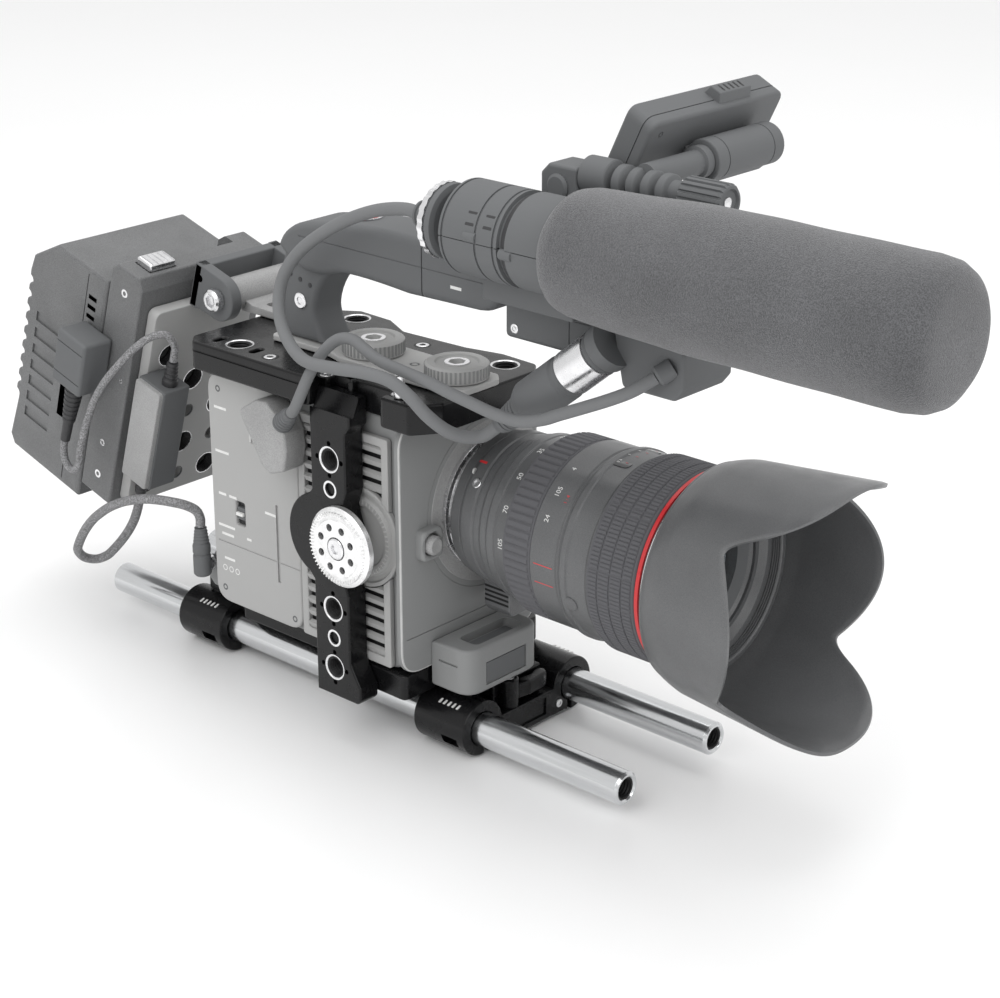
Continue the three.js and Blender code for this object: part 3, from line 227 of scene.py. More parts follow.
def finish(name, colour, roughness, metallic=0.0, tone=0.12, tone_scale=0.05, grain=2.0, depth=0.03,
        swing=0.08, stretch=(1, 1, 1), coat=0.0, specular=0.5, speckle=0.0):
    """A finish with clouded colour, speckle, uneven roughness and a fine surface grain."""
    if name in bpy.data.materials:
        return bpy.data.materials[name]
    material = bpy.data.materials.new(name)
    material.use_nodes = True
    tree = material.node_tree
    shader = tree.nodes["Principled BSDF"]
    shader.inputs["Metallic"].default_value = metallic
    shader.inputs["Coat Weight"].default_value = coat
    shader.inputs["Coat Roughness"].default_value = 0.15
    shader.inputs["Specular IOR Level"].default_value = specular
    at = node_of(tree, "ShaderNodeTexCoord").outputs["Object"]
    clouds = noise(tree, at, tone_scale, 4.0, stretch)
    dark = [c * (1 - tone) for c in colour]
    light = [min(1.0, c * (1 + tone)) for c in colour]
    tint = two_tones(tree, ranged(tree, clouds, 0, 1), dark, light)
    grains = noise(tree, at, grain, 2.0, stretch)
    if speckle:
        mix = tree.nodes.new("ShaderNodeMix")
        mix.data_type = "RGBA"
        mix.blend_type = "OVERLAY"
        mix.inputs["Factor"].default_value = speckle
        tree.links.new(tint, mix.inputs["A"])
        tree.links.new(two_tones(tree, ranged(tree, grains, 0, 1, 0.4, 0.6), (0.12,) * 3, (0.88,) * 3),
            mix.inputs["B"])
        tint = mix.outputs["Result"]
    tree.links.new(tint, shader.inputs["Base Color"])
    rough = noise(tree, at, tone_scale * 3, 5.0, stretch)
    tree.links.new(ranged(tree, rough, max(0.02, roughness - swing), min(1, roughness + swing)),
        shader.inputs["Roughness"])
    bumped(tree, shader, grains, depth)
    return material


def anodised_black():
    return finish("anodised_black", colours().anodised, 0.26, 0.0, 0.3, 0.04, 5.0, 0.008, 0.06, specular=0.3)


def thread_shadow():
    return finish("thread_shadow", (0.012, 0.012, 0.013), 0.55, 0.4, 0.3, 0.3, 4.0, 0.03)


def drawn_rod():
    return finish("drawn_rod", colours().rod, 0.2, 1.0, 0.05, 0.6, 3.0, 0.006, 0.07, stretch=(0.05, 1, 1))


def bright_metal():
    return finish("bright_metal", colours().silver, 0.24, 1.0, 0.08, 0.15, 3.0, 0.01, 0.08)


def rosette_metal():
    return finish("rosette_metal", (0.9, 0.9, 0.9), 0.34, 0.85, 0.1, 0.25, 4.0, 0.02, 0.1)


def camera_shell():
    return finish("camera_shell", colours().shell, 0.5, 0.0, 0.06, 0.02, 3.2, 0.05, 0.07, speckle=0.4)


def camera_front():
    return finish("camera_front", colours().front, 0.48, 0.0, 0.1, 0.02, 3.2, 0.05, 0.07, speckle=0.4)


def worn_rim():
    return finish("worn_rim", (0.5, 0.5, 0.495), 0.36, 0.1, 0.12, 0.08, 3.0, 0.03)


def dark_plastic():
    return finish("dark_plastic", colours().dark, 0.42, 0.0, 0.14, 0.03, 3.6, 0.04, 0.08, speckle=0.25)


def light_plastic():
    return finish("light_plastic", (0.3, 0.3, 0.3), 0.44, 0.0, 0.1, 0.03, 3.2, 0.04, 0.08, speckle=0.25)


def battery_case():
    return finish("battery_case", colours().battery, 0.45, 0.0, 0.12, 0.03, 3.2, 0.05, 0.08, speckle=0.35)


def lens_paint():
    return finish("lens_paint", colours().lens, 0.36, 0.0, 0.1, 0.03, 4.0, 0.02, 0.07, coat=0.1, speckle=0.2)


def lens_rubber():
    return finish("lens_rubber", (0.075, 0.077, 0.08), 0.62, 0.0, 0.16, 0.06, 3.0, 0.05, 0.08)


def accent_paint():
    return finish("accent_paint", colours().accent, 0.35, 0.0, 0.1, 0.05, 3.0, 0.01)


def mark_paint():
    return finish("mark_paint", (0.72, 0.72, 0.71), 0.5, 0.0, 0.06, 0.3, 3.0, 0.01)


def dark_mark():
    return finish("dark_mark", (0.03, 0.03, 0.032), 0.5, 0.0, 0.1, 0.3, 3.0, 0.01)


def foam():
    grain = 1 / sizes().foam_grain
    material = finish("windscreen_foam", colours().foam, 0.95, 0.0, 0.12, 0.03, grain, 0.5, 0.04,
        specular=0.12, speckle=0.35)
    material.node_tree.nodes["Principled BSDF"].inputs["Sheen Weight"].default_value = 0.35
    return material


def cable_jacket():
    return finish("cable_jacket", (0.085, 0.087, 0.09), 0.38, 0.0, 0.12, 0.05, 2.0, 0.03, 0.1)


def braid():
    return finish("braided_jacket", (0.2, 0.2, 0.205), 0.6, 0.0, 0.25, 0.9, 1.6, 0.15, 0.1, speckle=0.5)


def screen_glass():
    return finish("screen_glass", (0.012, 0.013, 0.015), 0.08, 0.0, 0.1, 0.01, 0.2, 0.001, 0.03, coat=0.6)


def coated_glass():
    """Dark, clear-coated glass whose base colour turns from violet to green and lighter at grazing angles: a
    painted reflection of its coating.
    """
    if "coated_glass" in bpy.data.materials:
        return bpy.data.materials["coated_glass"]
    material = finish("coated_glass", (0.03, 0.032, 0.04), 0.05, 0.0, 0.2, 0.01, 0.05, 0.0005, 0.02, coat=1.0)
    tree = material.node_tree
    shader = tree.nodes["Principled BSDF"]
    shader.inputs["IOR"].default_value = 1.7
    # painted reflection: the base colour lightens towards grazing angles, standing in for the coating's
    # reflection
    rim = node_of(tree, "ShaderNodeLayerWeight", Blend=0.35)
    coating_painted_reflection = two_tones(tree, rim.outputs["Facing"], (0.035, 0.03, 0.05), (0.3, 0.34, 0.38))
    tree.links.new(coating_painted_reflection, shader.inputs["Base Color"])
    return material


def floor_paper():
    return finish("floor_paper", (0.92, 0.92, 0.92), 0.32, 0.0, 0.01, 0.002, 0.2, 0.001, 0.03)


# ---- outlines, in millimetres
def arc(cx, cy, radius, start, stop, steps=12):
    """Points along an arc, its angles in degrees."""
    turn = [math.radians(start + (stop - start) * i / steps) for i in range(steps + 1)]
    return [(cx + radius * math.cos(a), cy + radius * math.sin(a)) for a in turn]


def circle(cx, cy, radius, steps=48):
    return arc(cx, cy, radius, 0, 360, steps)[:-1]


def rounded(points, radius, steps=5, closed=True):
    """The outline with each corner turned into an arc, as large as its sides allow."""
    result = []
    count = len(points)
    for i, here in enumerate(points):
        if not closed and i in (0, count - 1):
            result.append(tuple(here))
            continue
        here = Vector(here)
        before = Vector(points[i - 1]) - here
        after = Vector(points[(i + 1) % count]) - here
        reach = min(before.length, after.length) * 0.48
        angle = before.angle(after, math.pi)
        if angle > math.radians(174) or reach < 1e-6:
            result.append(tuple(here))
            continue
        back = min(radius / math.tan(angle / 2), reach)
        first = here + before.normalized() * back
        last = here + after.normalized() * back
        for k in range(steps + 1):
            t = k / steps
            point = first * (1 - t) ** 2 + here * 2 * t * (1 - t) + last * t ** 2
            result.append((point.x, point.y))
    return result


def box_outline(x0, y0, x1, y1, radius=0.0, steps=5):
    corners = [(x0, y0), (x1, y0), (x1, y1), (x0, y1)]
    return rounded(corners, radius, steps) if radius else corners


# ---- solids, as bmesh in millimetres
def into(axis):
    """The matrix that lays a drawing's plane square to an axis: (Y, Z) for X, (X, Z) for Y, (X, Y) for Z."""
    rows = {
        X: ((0, 0, 1, 0), (1, 0, 0, 0), (0, 1, 0, 0), (0, 0, 0, 1)),
        Y: ((1, 0, 0, 0), (0, 0, 1, 0), (0, 1, 0, 0), (0, 0, 0, 1)),
        Z: ((1, 0, 0, 0), (0, 1, 0, 0), (0, 0, 1, 0), (0, 0, 0, 1)),
    }
    return Matrix(rows[axis])


def from_mesh(mesh):
    solid = bmesh.new()
    solid.from_mesh(mesh)
    bpy.data.meshes.remove(mesh)
    return solid


def plate(outer, axis, start, stop, holes=(), edge=None):
    """An outline with holes, extruded from start to stop along an axis, its rims rounded."""
    edge = min(sizes().edge if edge is None else edge, abs(stop - start) * 0.45)
    curve = bpy.data.curves.new("outline", "CURVE")
    curve.dimensions = "2D"
    curve.fill_mode = "BOTH"
    curve.extrude = abs(stop - start) / 2 - edge
    curve.bevel_depth = edge
    curve.bevel_resolution = 2 if edge else 0
    curve.offset = -edge
    for loop in (outer, *holes):
        spline = curve.splines.new("POLY")
        spline.points.add(len(loop) - 1)
        for point, (u, v) in zip(spline.points, loop):
            point.co = (u, v, 0, 1)
        spline.use_cyclic_u = True
    holder = bpy.data.objects.new("outline", curve)
    mesh = bpy.data.meshes.new_from_object(holder)
    bpy.data.objects.remove(holder)
    bpy.data.curves.remove(curve)
    solid = from_mesh(mesh)
    bmesh.ops.remove_doubles(solid, verts=solid.verts, dist=1e-4)
    solid.transform(into(axis) @ Matrix.Translation((0, 0, (start + stop) / 2)))
    bmesh.ops.recalc_face_normals(solid, faces=solid.faces)
    return solid


def block(low, high, edge=None):
    """A box between two corners, all its edges rounded."""
    low, high = Vector(low), Vector(high)
    solid = bmesh.new()
    bmesh.ops.create_cube(solid, size=1)
    size = high - low
    solid.transform(Matrix.Translation((low + high) / 2) @ Matrix.Diagonal((*size, 1)))
    edge = min(sizes().edge if edge is None else edge, min(size) * 0.4)
    if edge:
        bmesh.ops.bevel(solid, geom=solid.edges, offset=edge, segments=3, profile=0.5, affect="EDGES")
    return solid


def lathe(profile, axis=Z, centre=(0, 0, 0), steps=None, wave=None, soften=0.25):
    """A turned solid from (radius, station) pairs; wave(angle, radius, station) can alter the radius."""
    steps = steps or sizes().round_steps
    closed = profile[0] == profile[-1]
    points = rounded(profile[:-1] if closed else profile, soften, 2, closed) if soften else list(profile)
    if closed:
        points.append(points[0])
    solid = bmesh.new()
    rings = []
    for radius, station in points[:-1] if closed else points:
        if radius < 1e-6:
            rings.append([solid.verts.new((0, 0, station))])
            continue
        ring = []
        for i in range(steps):
            a = i / steps * math.tau
            r = wave(a, radius, station) if wave else radius
            ring.append(solid.verts.new((r * math.cos(a), r * math.sin(a), station)))
        rings.append(ring)
    pairs = list(zip(rings, rings[1:] + rings[:1] if closed else rings[1:]))
    for here, there in pairs:
        for i in range(steps):
            j = (i + 1) % steps
            corners = [here[i % len(here)], here[j % len(here)], there[j % len(there)], there[i % len(there)]]
            corners = list(dict.fromkeys(corners))
            if len(corners) > 2:
                solid.faces.new(corners)
    turn = into(axis) if axis in (X, Y, Z) else Vector((0, 0,
        1)).rotation_difference(Vector(axis)).to_matrix().to_4x4()
    solid.transform(Matrix.Translation(centre) @ turn)
    bmesh.ops.recalc_face_normals(solid, faces=solid.faces)
    return solid


def between(profile, start, towards, steps=48):
    """A turned solid whose axis runs from one point towards another."""
    return lathe(profile, Vector(towards) - Vector(start), start, steps)


def disc(radius, start, stop, axis, centre, steps=48):
    return lathe([(0, start), (radius, start), (radius, stop), (0, stop)], axis, centre, steps)


def ring(outer, inner, start, stop, axis, centre, steps=None):
    profile = [(inner, start), (outer, start), (outer, stop), (inner, stop), (inner, start)]
    return lathe(profile, axis, centre, steps)


def linked(name, data):
    """A new object in the scene."""
    thing = bpy.data.objects.new(name, data)
    bpy.context.scene.collection.objects.link(thing)
    return thing


def evaluated(thing):
    """The mesh that an object's modifiers give."""
    bpy.context.view_layer.update()
    return bpy.data.meshes.new_from_object(thing.evaluated_get(bpy.context.evaluated_depsgraph_get()))


def as_mesh(solid, name="part"):
    mesh = bpy.data.meshes.new(name)
    solid.to_mesh(mesh)
    solid.free()
    return mesh


def carved(solid, tools, how="DIFFERENCE"):
    """The solid with tool solids cut out of it, or joined to it."""
    base = linked("base", as_mesh(solid))
    joined = bmesh.new()
    for tool in tools:
        mesh = as_mesh(tool)
        joined.from_mesh(mesh)
        bpy.data.meshes.remove(mesh)
    cutter = linked("cutter", as_mesh(joined))
    modifier = base.modifiers.new("carve", "BOOLEAN")
    modifier.operation = how
    modifier.solver = "EXACT"
    modifier.use_self = True
    modifier.object = cutter
    mesh = evaluated(base)
    for helper in (base, cutter):
        data = helper.data
        bpy.data.objects.remove(helper)
        bpy.data.meshes.remove(data)
    return from_mesh(mesh)


def spun(solid, angle, axis, centre):
    turn = Matrix.Translation(centre) @ Matrix.Rotation(angle, 4, axis) @ Matrix.Translation(-Vector(centre))
    solid.transform(turn)
    return solid


def moved(solid, x=0.0, y=0.0, z=0.0):
    solid.transform(Matrix.Translation((x, y, z)))
    return solid


def hexagonal(test):
    """A wave that makes a turned wall six-sided where its radius passes the test."""
    return lambda a, r, h: r / max(math.cos((a % (math.pi / 3)) - math.pi / 6), 0.87) if test(r) else r


def socket_screw(at, out, radius=2.6, head=1.2, steps=32):
    """A low round screw head with a hexagonal socket, facing out."""
    at, out = Vector(at), Vector(out).normalized()
    hexagon = radius * 0.48
    profile = [(0, -0.4), (radius, -0.4), (radius, head * 0.75), (radius * 0.86, head), (hexagon, head)]
    profile += [(hexagon * 0.95, head * 0.35), (0, head * 0.35)]
    return lathe(profile, out, at, 6 * (steps // 6), hexagonal(lambda r: 0 < r <= hexagon), 0.1)


# ---- pieces from solids
def shaded(mesh, angle=32.0):
    mesh.polygons.foreach_set("use_smooth", [True] * len(mesh.polygons))
    mesh.set_sharp_from_angle(angle=math.radians(angle))


def piece(name, parts, node, place=PLACE, weighted=True):
    """One named piece from (solid, material) parts, standing for a node and riding on its body."""
    whole = bmesh.new()
    materials = []
    for solid, material in parts:
        if material not in materials:
            materials.append(material)
        index = materials.index(material)
        bmesh.ops.remove_doubles(solid, verts=solid.verts, dist=1e-4)
        bmesh.ops.holes_fill(solid, edges=[edge for edge in solid.edges if edge.is_boundary], sides=12)
        if solid.calc_volume(signed=True) < 0:
            bmesh.ops.reverse_faces(solid, faces=solid.faces)
        for face in solid.faces:
            face.material_index = index
        mesh = as_mesh(solid)
        whole.from_mesh(mesh)
        bpy.data.meshes.remove(mesh)
    mesh = as_mesh(whole, name)
    mesh.transform(place)
    for material in materials:
        mesh.materials.append(material)
    shaded(mesh)
    thing = linked(name, mesh)
    if weighted:
        thing.modifiers.new("even_shading", "WEIGHTED_NORMAL").keep_sharp = True
        thing.data = evaluated(thing)
        thing.modifiers.clear()
        bpy.data.meshes.remove(mesh)
        thing.data.name = name
    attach(thing, frame["nodes"][node]["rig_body"])
    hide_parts(node)
    return thing


# ---- rods and rod clamps
def thread_profile(radius, mouth, depth, pitch=1.5):
    """Turned-in thread rings on a hole's wall, from its mouth inwards."""
    profile = []
    count = int(depth / pitch)
    for i in range(count):
        at = mouth - i * pitch
        profile += [(radius, at), (radius + 0.5, at - pitch / 2)]
    return profile


def support_rod(side):
    low, high = span(side + "_rod")
    radius = (high.z - low.z) / 2
    centre = (0, (low.y + high.y) / 2, 0)
    bore, wall = 4.9, 5.6
    tube = lathe([(0, low.x), (radius - 1, low.x), (radius, low.x + 1), (radius, high.x - 1.1),
        (radius - 1.1, high.x), (wall, high.x), (bore, high.x - 0.8), (bore, high.x - 11), (0, high.x - 11)],
        X, centre)
    thread = lathe([(bore - 0.05, high.x - 1)] + [(r - 0.7, h) for r, h in thread_profile(bore, high.x - 1.2,
        9)] + [(bore - 0.05, high.x - 10.9), (bore - 0.05, high.x - 1)], X, centre, soften=0)
    floor = disc(bore - 0.3, high.x - 11, high.x - 10.8, X, centre)
    piece(side + "_rod_tube", [(tube, drawn_rod()), (thread, thread_shadow()), (floor, thread_shadow())],
        side + "_rod")


def clamp_outline(outer, bridge_top, bridge_bottom):
    half = ROD_SPACING / 2
    top = math.degrees(math.asin(bridge_top / outer))
    bottom = math.degrees(math.asin(bridge_bottom / outer))
    left = arc(-half, 0, outer, top, 360 + bottom, 40)
    right = arc(half, 0, outer, -180 - bottom, 180 - top, 40)
    return left + right


def rod_clamp(name, riser_front, front_style):
    low, high = span(name)
    outer = (high.y - low.y - ROD_SPACING) / 2
    middle = (low.x + high.x) / 2
    bores = [circle(side * ROD_SPACING / 2, 0, 7.75, 64) for side in (-1, 1)]
    body = plate(clamp_outline(outer, 1.5, -11.5), X, low.x, high.x, bores, 0.7)
    tools = []
    for side in (-1, 1):
        y = side * ROD_SPACING / 2
        tools.append(block((low.x - 1, y - side * 2 - 1.5, -14), (high.x + 1, y - side * 2 + 1.5, -4), 0))
        tools.append(block((high.x - 13.6, y + side * 7 - 7, -7.2), (high.x - 4.4, y + side * 7 + 7, -2.8),
            0))
        tools.append(lathe([(0, -7), (1.6, -7), (1.6, 7), (0, 7)], Z, (middle - 7, y, 0), 24))
    pocket_x = high.x - 0.9 if front_style else low.x - 1
    tools.append(block((pocket_x, -12, -9), (pocket_x + 2, 12, -0.6), 0))
    body = carved(body, tools)
    parts = [(body, anodised_black())]
    riser = block((low.x + 0.2, -16, 1), (riser_front, 16, high.z), 1.0)
    parts.append((riser, anodised_black()))
    for side in (-1, 1):
        y = side * ROD_SPACING / 2
        for k in range(5):
            tick = block((high.x - 8 - k * 2.6, y + side * 3.5 - 2, outer - 0.75),
                (high.x - 7 - k * 2.6, y + side * 3.5 + 2, outer - 0.35), 0)
            spun(tick, -side * math.radians(17), "X", (0, y, 0))
            parts.append((tick, mark_paint()))
        parts += [(socket_screw((high.x, y - side * 9.4, -6.6), (1, 0, 0), 2.0, 0.6), bright_metal()),
            (socket_screw((low.x + 8, y, -outer + 0.35), (0, 0, -1), 2.4, 0.4), bright_metal())]
    piece(name + "_body", parts, name)


def clamp_lever():
    low, high = span("clamp_lever")
    hub_x, hub_y = low.x + 4.6, low.y + 4.6
    hub = lathe([(0, low.z), (4.6, low.z), (4.6, high.z - 1.2), (3.8, high.z - 0.4), (0, high.z - 0.4)], Z,
        (hub_x, hub_y, 0))
    cap = socket_screw((hub_x, hub_y, high.z - 0.6), (0, 0, 1), 3.0, 0.6)
    reach = high.y - hub_y
    outer = [(-3.2, 0), (3.2, 0), (4.9, reach * 0.4), (4.2, reach * 0.8), (3.7, reach - 2.4), (0.5, reach),
        (-2.6, reach - 2.6), (-0.4, reach * 0.6)]
    arm = moved(plate(rounded(outer, 2.5), Z, low.z + 2.6, low.z + 9.8, edge=1.2), hub_x, hub_y)
    piece("lever_arm", [(hub, anodised_black()), (arm, anodised_black()), (cap, bright_metal())],
        "clamp_lever")


# ---- cage
def ringed_hole(x, y, z, out, radius=4.9):
    """A threaded accessory hole: a tapped well in painted shade with a bright lip, its mouth facing out."""
    well = lathe([(radius, -0.1)] + thread_profile(radius - 0.6, -0.7, 8, 1.3) + [(radius - 0.2, -9),
        (radius + 0.5, -9), (radius + 0.5, -0.1), (radius, -0.1)], out, (x, y, z), 64, soften=0)
    lip = lathe([(radius - 0.1, -0.5), (radius + 0.7, -0.1), (radius + 1.0, 0.12), (radius + 1.5, 0.12),
        (radius + 1.6, -0.5), (radius - 0.1, -0.5)], out, (x, y, z), 64, soften=0)
    floor = disc(radius - 0.5, -9, -8.6, out, (x, y, z))
    return [(well, thread_shadow()), (lip, bright_metal()), (floor, thread_shadow())]


def cage_top():
    low, high = span("cage_top_plate")
    post_low, post_high = span("cage_right_post")
    rear, front, near, far = low.x, high.x, low.y, high.y - 4
    notch_rear, notch_front = post_low.x - 0.3, -108.7
    shape = [(rear + 6, near), (notch_rear, near), (notch_rear, post_high.y + 0.3),
        (notch_front, post_high.y + 0.3), (notch_front, near + 2), (front - 8, near + 2), (front, near + 14),
        (front, far - 8), (front - 6, far), (front - 26, far + 1), (front - 44, far - 3),
        (front - 80, far - 5), (front - 96, far + 3), (front - 116, far + 4), (front - 128, far - 4),
        (rear + 5, far - 8), (rear, far - 14), (rear, near + 6)]
    big = [(rear + 25, near + 11), (front - 109, far - 6), (front - 15, far - 10)]
    slots = [(rear + 13, near + 10), (rear + 37, near + 10), (front - 121, far - 14), (rear + 96, near + 12)]
    holes = [circle(x, y, 5.2) for x, y in big]
    holes += [box_outline(x - 1.6, y - 3.5, x + 1.6, y + 3.5, 1.5) for x, y in slots]
    body = plate(rounded(shape, 3, 6), Z, low.z, high.z, holes, 1.0)
    groove = block((rear + 3, near - 1, high.z - 4.6), (notch_rear - 2, near + 0.7, high.z - 3.4), 0.2)
    body = carved(body, [groove])
    parts = [(body, anodised_black())]
    for x, y in big:
        parts += ringed_hole(x, y, high.z, (0, 0, 1))
    for x, y in ((rear + 48, near + 8), (front - 62, near + 8), (front - 60, far - 14),
            (rear + 62, near + 15), (front - 22, near + 10)):
        parts += [(ring(3.9, 3.0, high.z - 0.4, high.z + 0.06, Z, (x, y, 0), 48), thread_shadow()),
            (socket_screw((x, y, high.z - 0.25), (0, 0, 1), 2.9, 0.5), bright_metal())]
    piece("top_plate", parts, "cage_top_plate")


def post_shape(low, high):
    rear, front = low.x, low.x + 21
    z = joint_rosette()
    left = [(rear, high.z), (rear, z + 19)] + arc(rear + 4.5, z, 19.6, 103, 257, 28) + [(rear, z - 19),
        (rear, low.z)]
    right = [(front + 4, low.z), (front + 6, low.z + 2), (front + 6, low.z + 8), (front, low.z + 18),
        (front, z - 24), (front - 2.6, z - 16), (front - 1, z - 10), (front + 2.8, z), (front - 1, z + 10),
        (front - 2.6, z + 16), (front, z + 24), (front, high.z - 16), (front + 3, high.z - 12),
        (front + 3, high.z)]
    return left, right


def joint_rosette():
    low, high = span("rosette_disc")
    return (low.z + high.z) / 2


def cage_post():
    low, high = span("cage_right_post")
    left, right = post_shape(low, high)
    shape = rounded(left[:2], 0, closed=False) + left[2:] + rounded([left[-1]] + right + [left[0]], 2.2, 5,
        False)[1:-1]
    middle = low.x + 11.5
    big = (low.z + 14, low.z + 42, high.z - 29)
    small = (low.z + 28, high.z - 42.5)
    body = plate(shape, Y, low.y, high.y, [circle(middle, z, 4.6) for z in big], 0.9)
    tools = [block((low.x - 2, low.y - 12, high.z - 8), (low.x + 30, low.y + 0.1, high.z + 12), 0)]
    spun(tools[0], math.radians(-24), "X", (0, low.y, high.z - 14))
    for z in small:
        tools.append(disc(3.0, -1, 5, Y, (middle, low.y, z)))
    for z in big:
        for dx, dz in ((-7.2, 0), (7.2, 0), (0, 7.2), (0, -7.2)):
            tools.append(disc(1.15, -1, 3, Y, (middle + dx, low.y, z + dz), 20))
    body = carved(body, tools)
    parts = [(body, anodised_black())]
    for z in big:
        parts += ringed_hole(middle, low.y, z, (0, -1, 0), 4.4)
        parts.append((ring(6.2, 5.6, -0.08, 0.5, Y, (middle, low.y, z), 48), thread_shadow()))
    for z in small:
        parts += [(ring(4.0, 2.9, -0.1, 1, Y, (middle, low.y, z), 48), bright_metal()),
            (disc(2.9, 1.5, 2, Y, (middle, low.y, z)), thread_shadow())]
    piece("side_post", parts, "cage_right_post")


def serrated_disc():
    """The rosette: radial teeth round its rim, made by repeating one wedge round the centre."""
    low, high = span("rosette_disc")
    x, z = (low.x + high.x) / 2, (low.z + high.z) / 2
    radius = (high.x - low.x) / 2
    face = low.y
    body = lathe([(5.2, face), (radius - 5.2, face), (radius - 4.8, face + 0.5), (radius - 1.4, face + 1.4),
        (radius, face + 2.4), (radius, high.y), (4.6, high.y), (4.6, face + 2), (5.2, face + 1.6),
        (5.2, face)], Y, (x, 0, z))
    wells = []
    for i in range(8):
        a = math.radians(22.5 + 45 * i)
        wells.append(disc(1.7, face - 1, face + 2.4, Y, (x + 9.6 * math.cos(a), 0, z + 9.6 * math.sin(a)),
            28))
    body = carved(body, wells)
    teeth = repeated_round("rosette_teeth", 60, radius - 3.3, (3.2, 0.55, 0.9), rosette_metal(),
        Matrix.Translation((x, face + 1.0, z)) @ Matrix.Rotation(math.pi / 2, 4, "X"), tilt=-0.36)
    # painted shade: thin dark discs set near the bottom of the eight wells stand for the shade inside them
    painted_well_shade = [(disc(1.65, face + 2.0, face + 2.2, Y, (x + 9.6 * math.cos(math.radians(22.5 + 45 * i)), 0,
        z + 9.6 * math.sin(math.radians(22.5 + 45 * i))), 28), thread_shadow()) for i in range(8)]
    piece("rosette", [(body, rosette_metal()), (teeth, rosette_metal())] + painted_well_shade, "rosette_disc")
    low, high = span("rosette_screw")
    head = socket_screw((x, low.y + 1.6, z), (0, -1, 0), 4.7, 1.5, 60)
    shank = disc(4.1, low.y + 1.5, high.y, Y, (x, 0, z))
    piece("rosette_bolt", [(head, bright_metal()), (shank, bright_metal())], "rosette_screw")


def bar_tree(name, **inputs):
    """A tree with named inputs, where a bar of the input Size waits to be put on points."""
    kinds = {int: "NodeSocketInt", float: "NodeSocketFloat", tuple: "NodeSocketVector"}
    tree = bpy.data.node_groups.new(name, "GeometryNodeTree")
    for label, value in inputs.items():
        socket = tree.interface.new_socket(label, in_out="INPUT", socket_type=kinds[type(value)])
        socket.default_value = value
    tree.interface.new_socket("Geometry", in_out="OUTPUT", socket_type="NodeSocketGeometry")
    given = tree.nodes.new("NodeGroupInput").outputs
    bar = tree.nodes.new("GeometryNodeMeshCube")
    place = tree.nodes.new("GeometryNodeInstanceOnPoints")
    tree.links.new(given["Size"], bar.inputs["Size"])
    tree.links.new(bar.outputs["Mesh"], place.inputs["Instance"])
    return tree, given, place


def grown(tree, instances, material, matrix):
    """Ends a tree in realised instances with a material, and gives its result as a bmesh."""
    whole = tree.nodes.new("GeometryNodeRealizeInstances")
    paint = tree.nodes.new("GeometryNodeSetMaterial")
    paint.inputs["Material"].default_value = material
    out = tree.nodes.new("NodeGroupOutput")
    tree.links.new(instances, whole.inputs[0])
    tree.links.new(whole.outputs[0], paint.inputs["Geometry"])
    tree.links.new(paint.outputs["Geometry"], out.inputs["Geometry"])
    holder = linked(tree.name, bpy.data.meshes.new(tree.name))
    holder.modifiers.new("grow", "NODES").node_group = tree
    mesh = evaluated(holder)
    bpy.data.objects.remove(holder)
    solid = from_mesh(mesh)
    solid.transform(matrix)
    bmesh.ops.recalc_face_normals(solid, faces=solid.faces)
    return solid


def repeated_round(name, count, radius, size, material, matrix, tilt=0.0):
    """A small bar repeated round a circle, as a bmesh in its place."""
    tree, given, place = bar_tree(name, Count=count, Radius=radius, Size=size)
    link = tree.links.new
    rim = node_of(tree, "GeometryNodeMeshCircle", fill_type="NONE")
    link(given["Count"], rim.inputs["Vertices"])
    link(given["Radius"], rim.inputs["Radius"])
    link(rim.outputs["Mesh"], place.inputs["Points"])
    share = node_of(tree, "ShaderNodeMath", operation="DIVIDE")
    link(tree.nodes.new("GeometryNodeInputIndex").outputs[0], share.inputs[0])
    link(given["Count"], share.inputs[1])
    angle = node_of(tree, "ShaderNodeMath", operation="MULTIPLY")
    angle.inputs[1].default_value = math.tau
    link(share.outputs[0], angle.inputs[0])
    turn = node_of(tree, "ShaderNodeCombineXYZ", Y=tilt)
    link(angle.outputs[0], turn.inputs["Z"])
    as_turn = tree.nodes.new("FunctionNodeEulerToRotation")
    link(turn.outputs[0], as_turn.inputs[0])
    link(as_turn.outputs[0], place.inputs["Rotation"])
    return grown(tree, place.outputs["Instances"], material, matrix)


def repeated_row(name, count, step, size, material, matrix, tilt):
    """A small bar repeated along a line, as a bmesh in its place."""
    tree, given, place = bar_tree(name, Count=count, Step=step, Size=size)
    line = tree.nodes.new("GeometryNodeMeshLine")
    tree.links.new(given["Count"], line.inputs["Count"])
    tree.links.new(given["Step"], line.inputs["Offset"])
    tree.links.new(line.outputs["Mesh"], place.inputs["Points"])
    place.inputs["Rotation"].default_value = tilt
    return grown(tree, place.outputs["Instances"], material, matrix)


def tape_hook():
    low, high = span("tape_hook")
    r = (high.x - low.x) / 2
    stud = lathe([(0, low.z), (r, low.z), (r, low.z + 3), (r - 1.4, low.z + 4), (r - 1.4, low.z + 9),
        (r - 0.2, low.z + 10), (r - 0.2, high.z - 1.2), (r - 1.6, high.z), (0, high.z)], Z,
        ((low.x + high.x) / 2, (low.y + high.y) / 2, 0), 48)
    piece("hook_stud", [(stud, bright_metal())], "tape_hook")


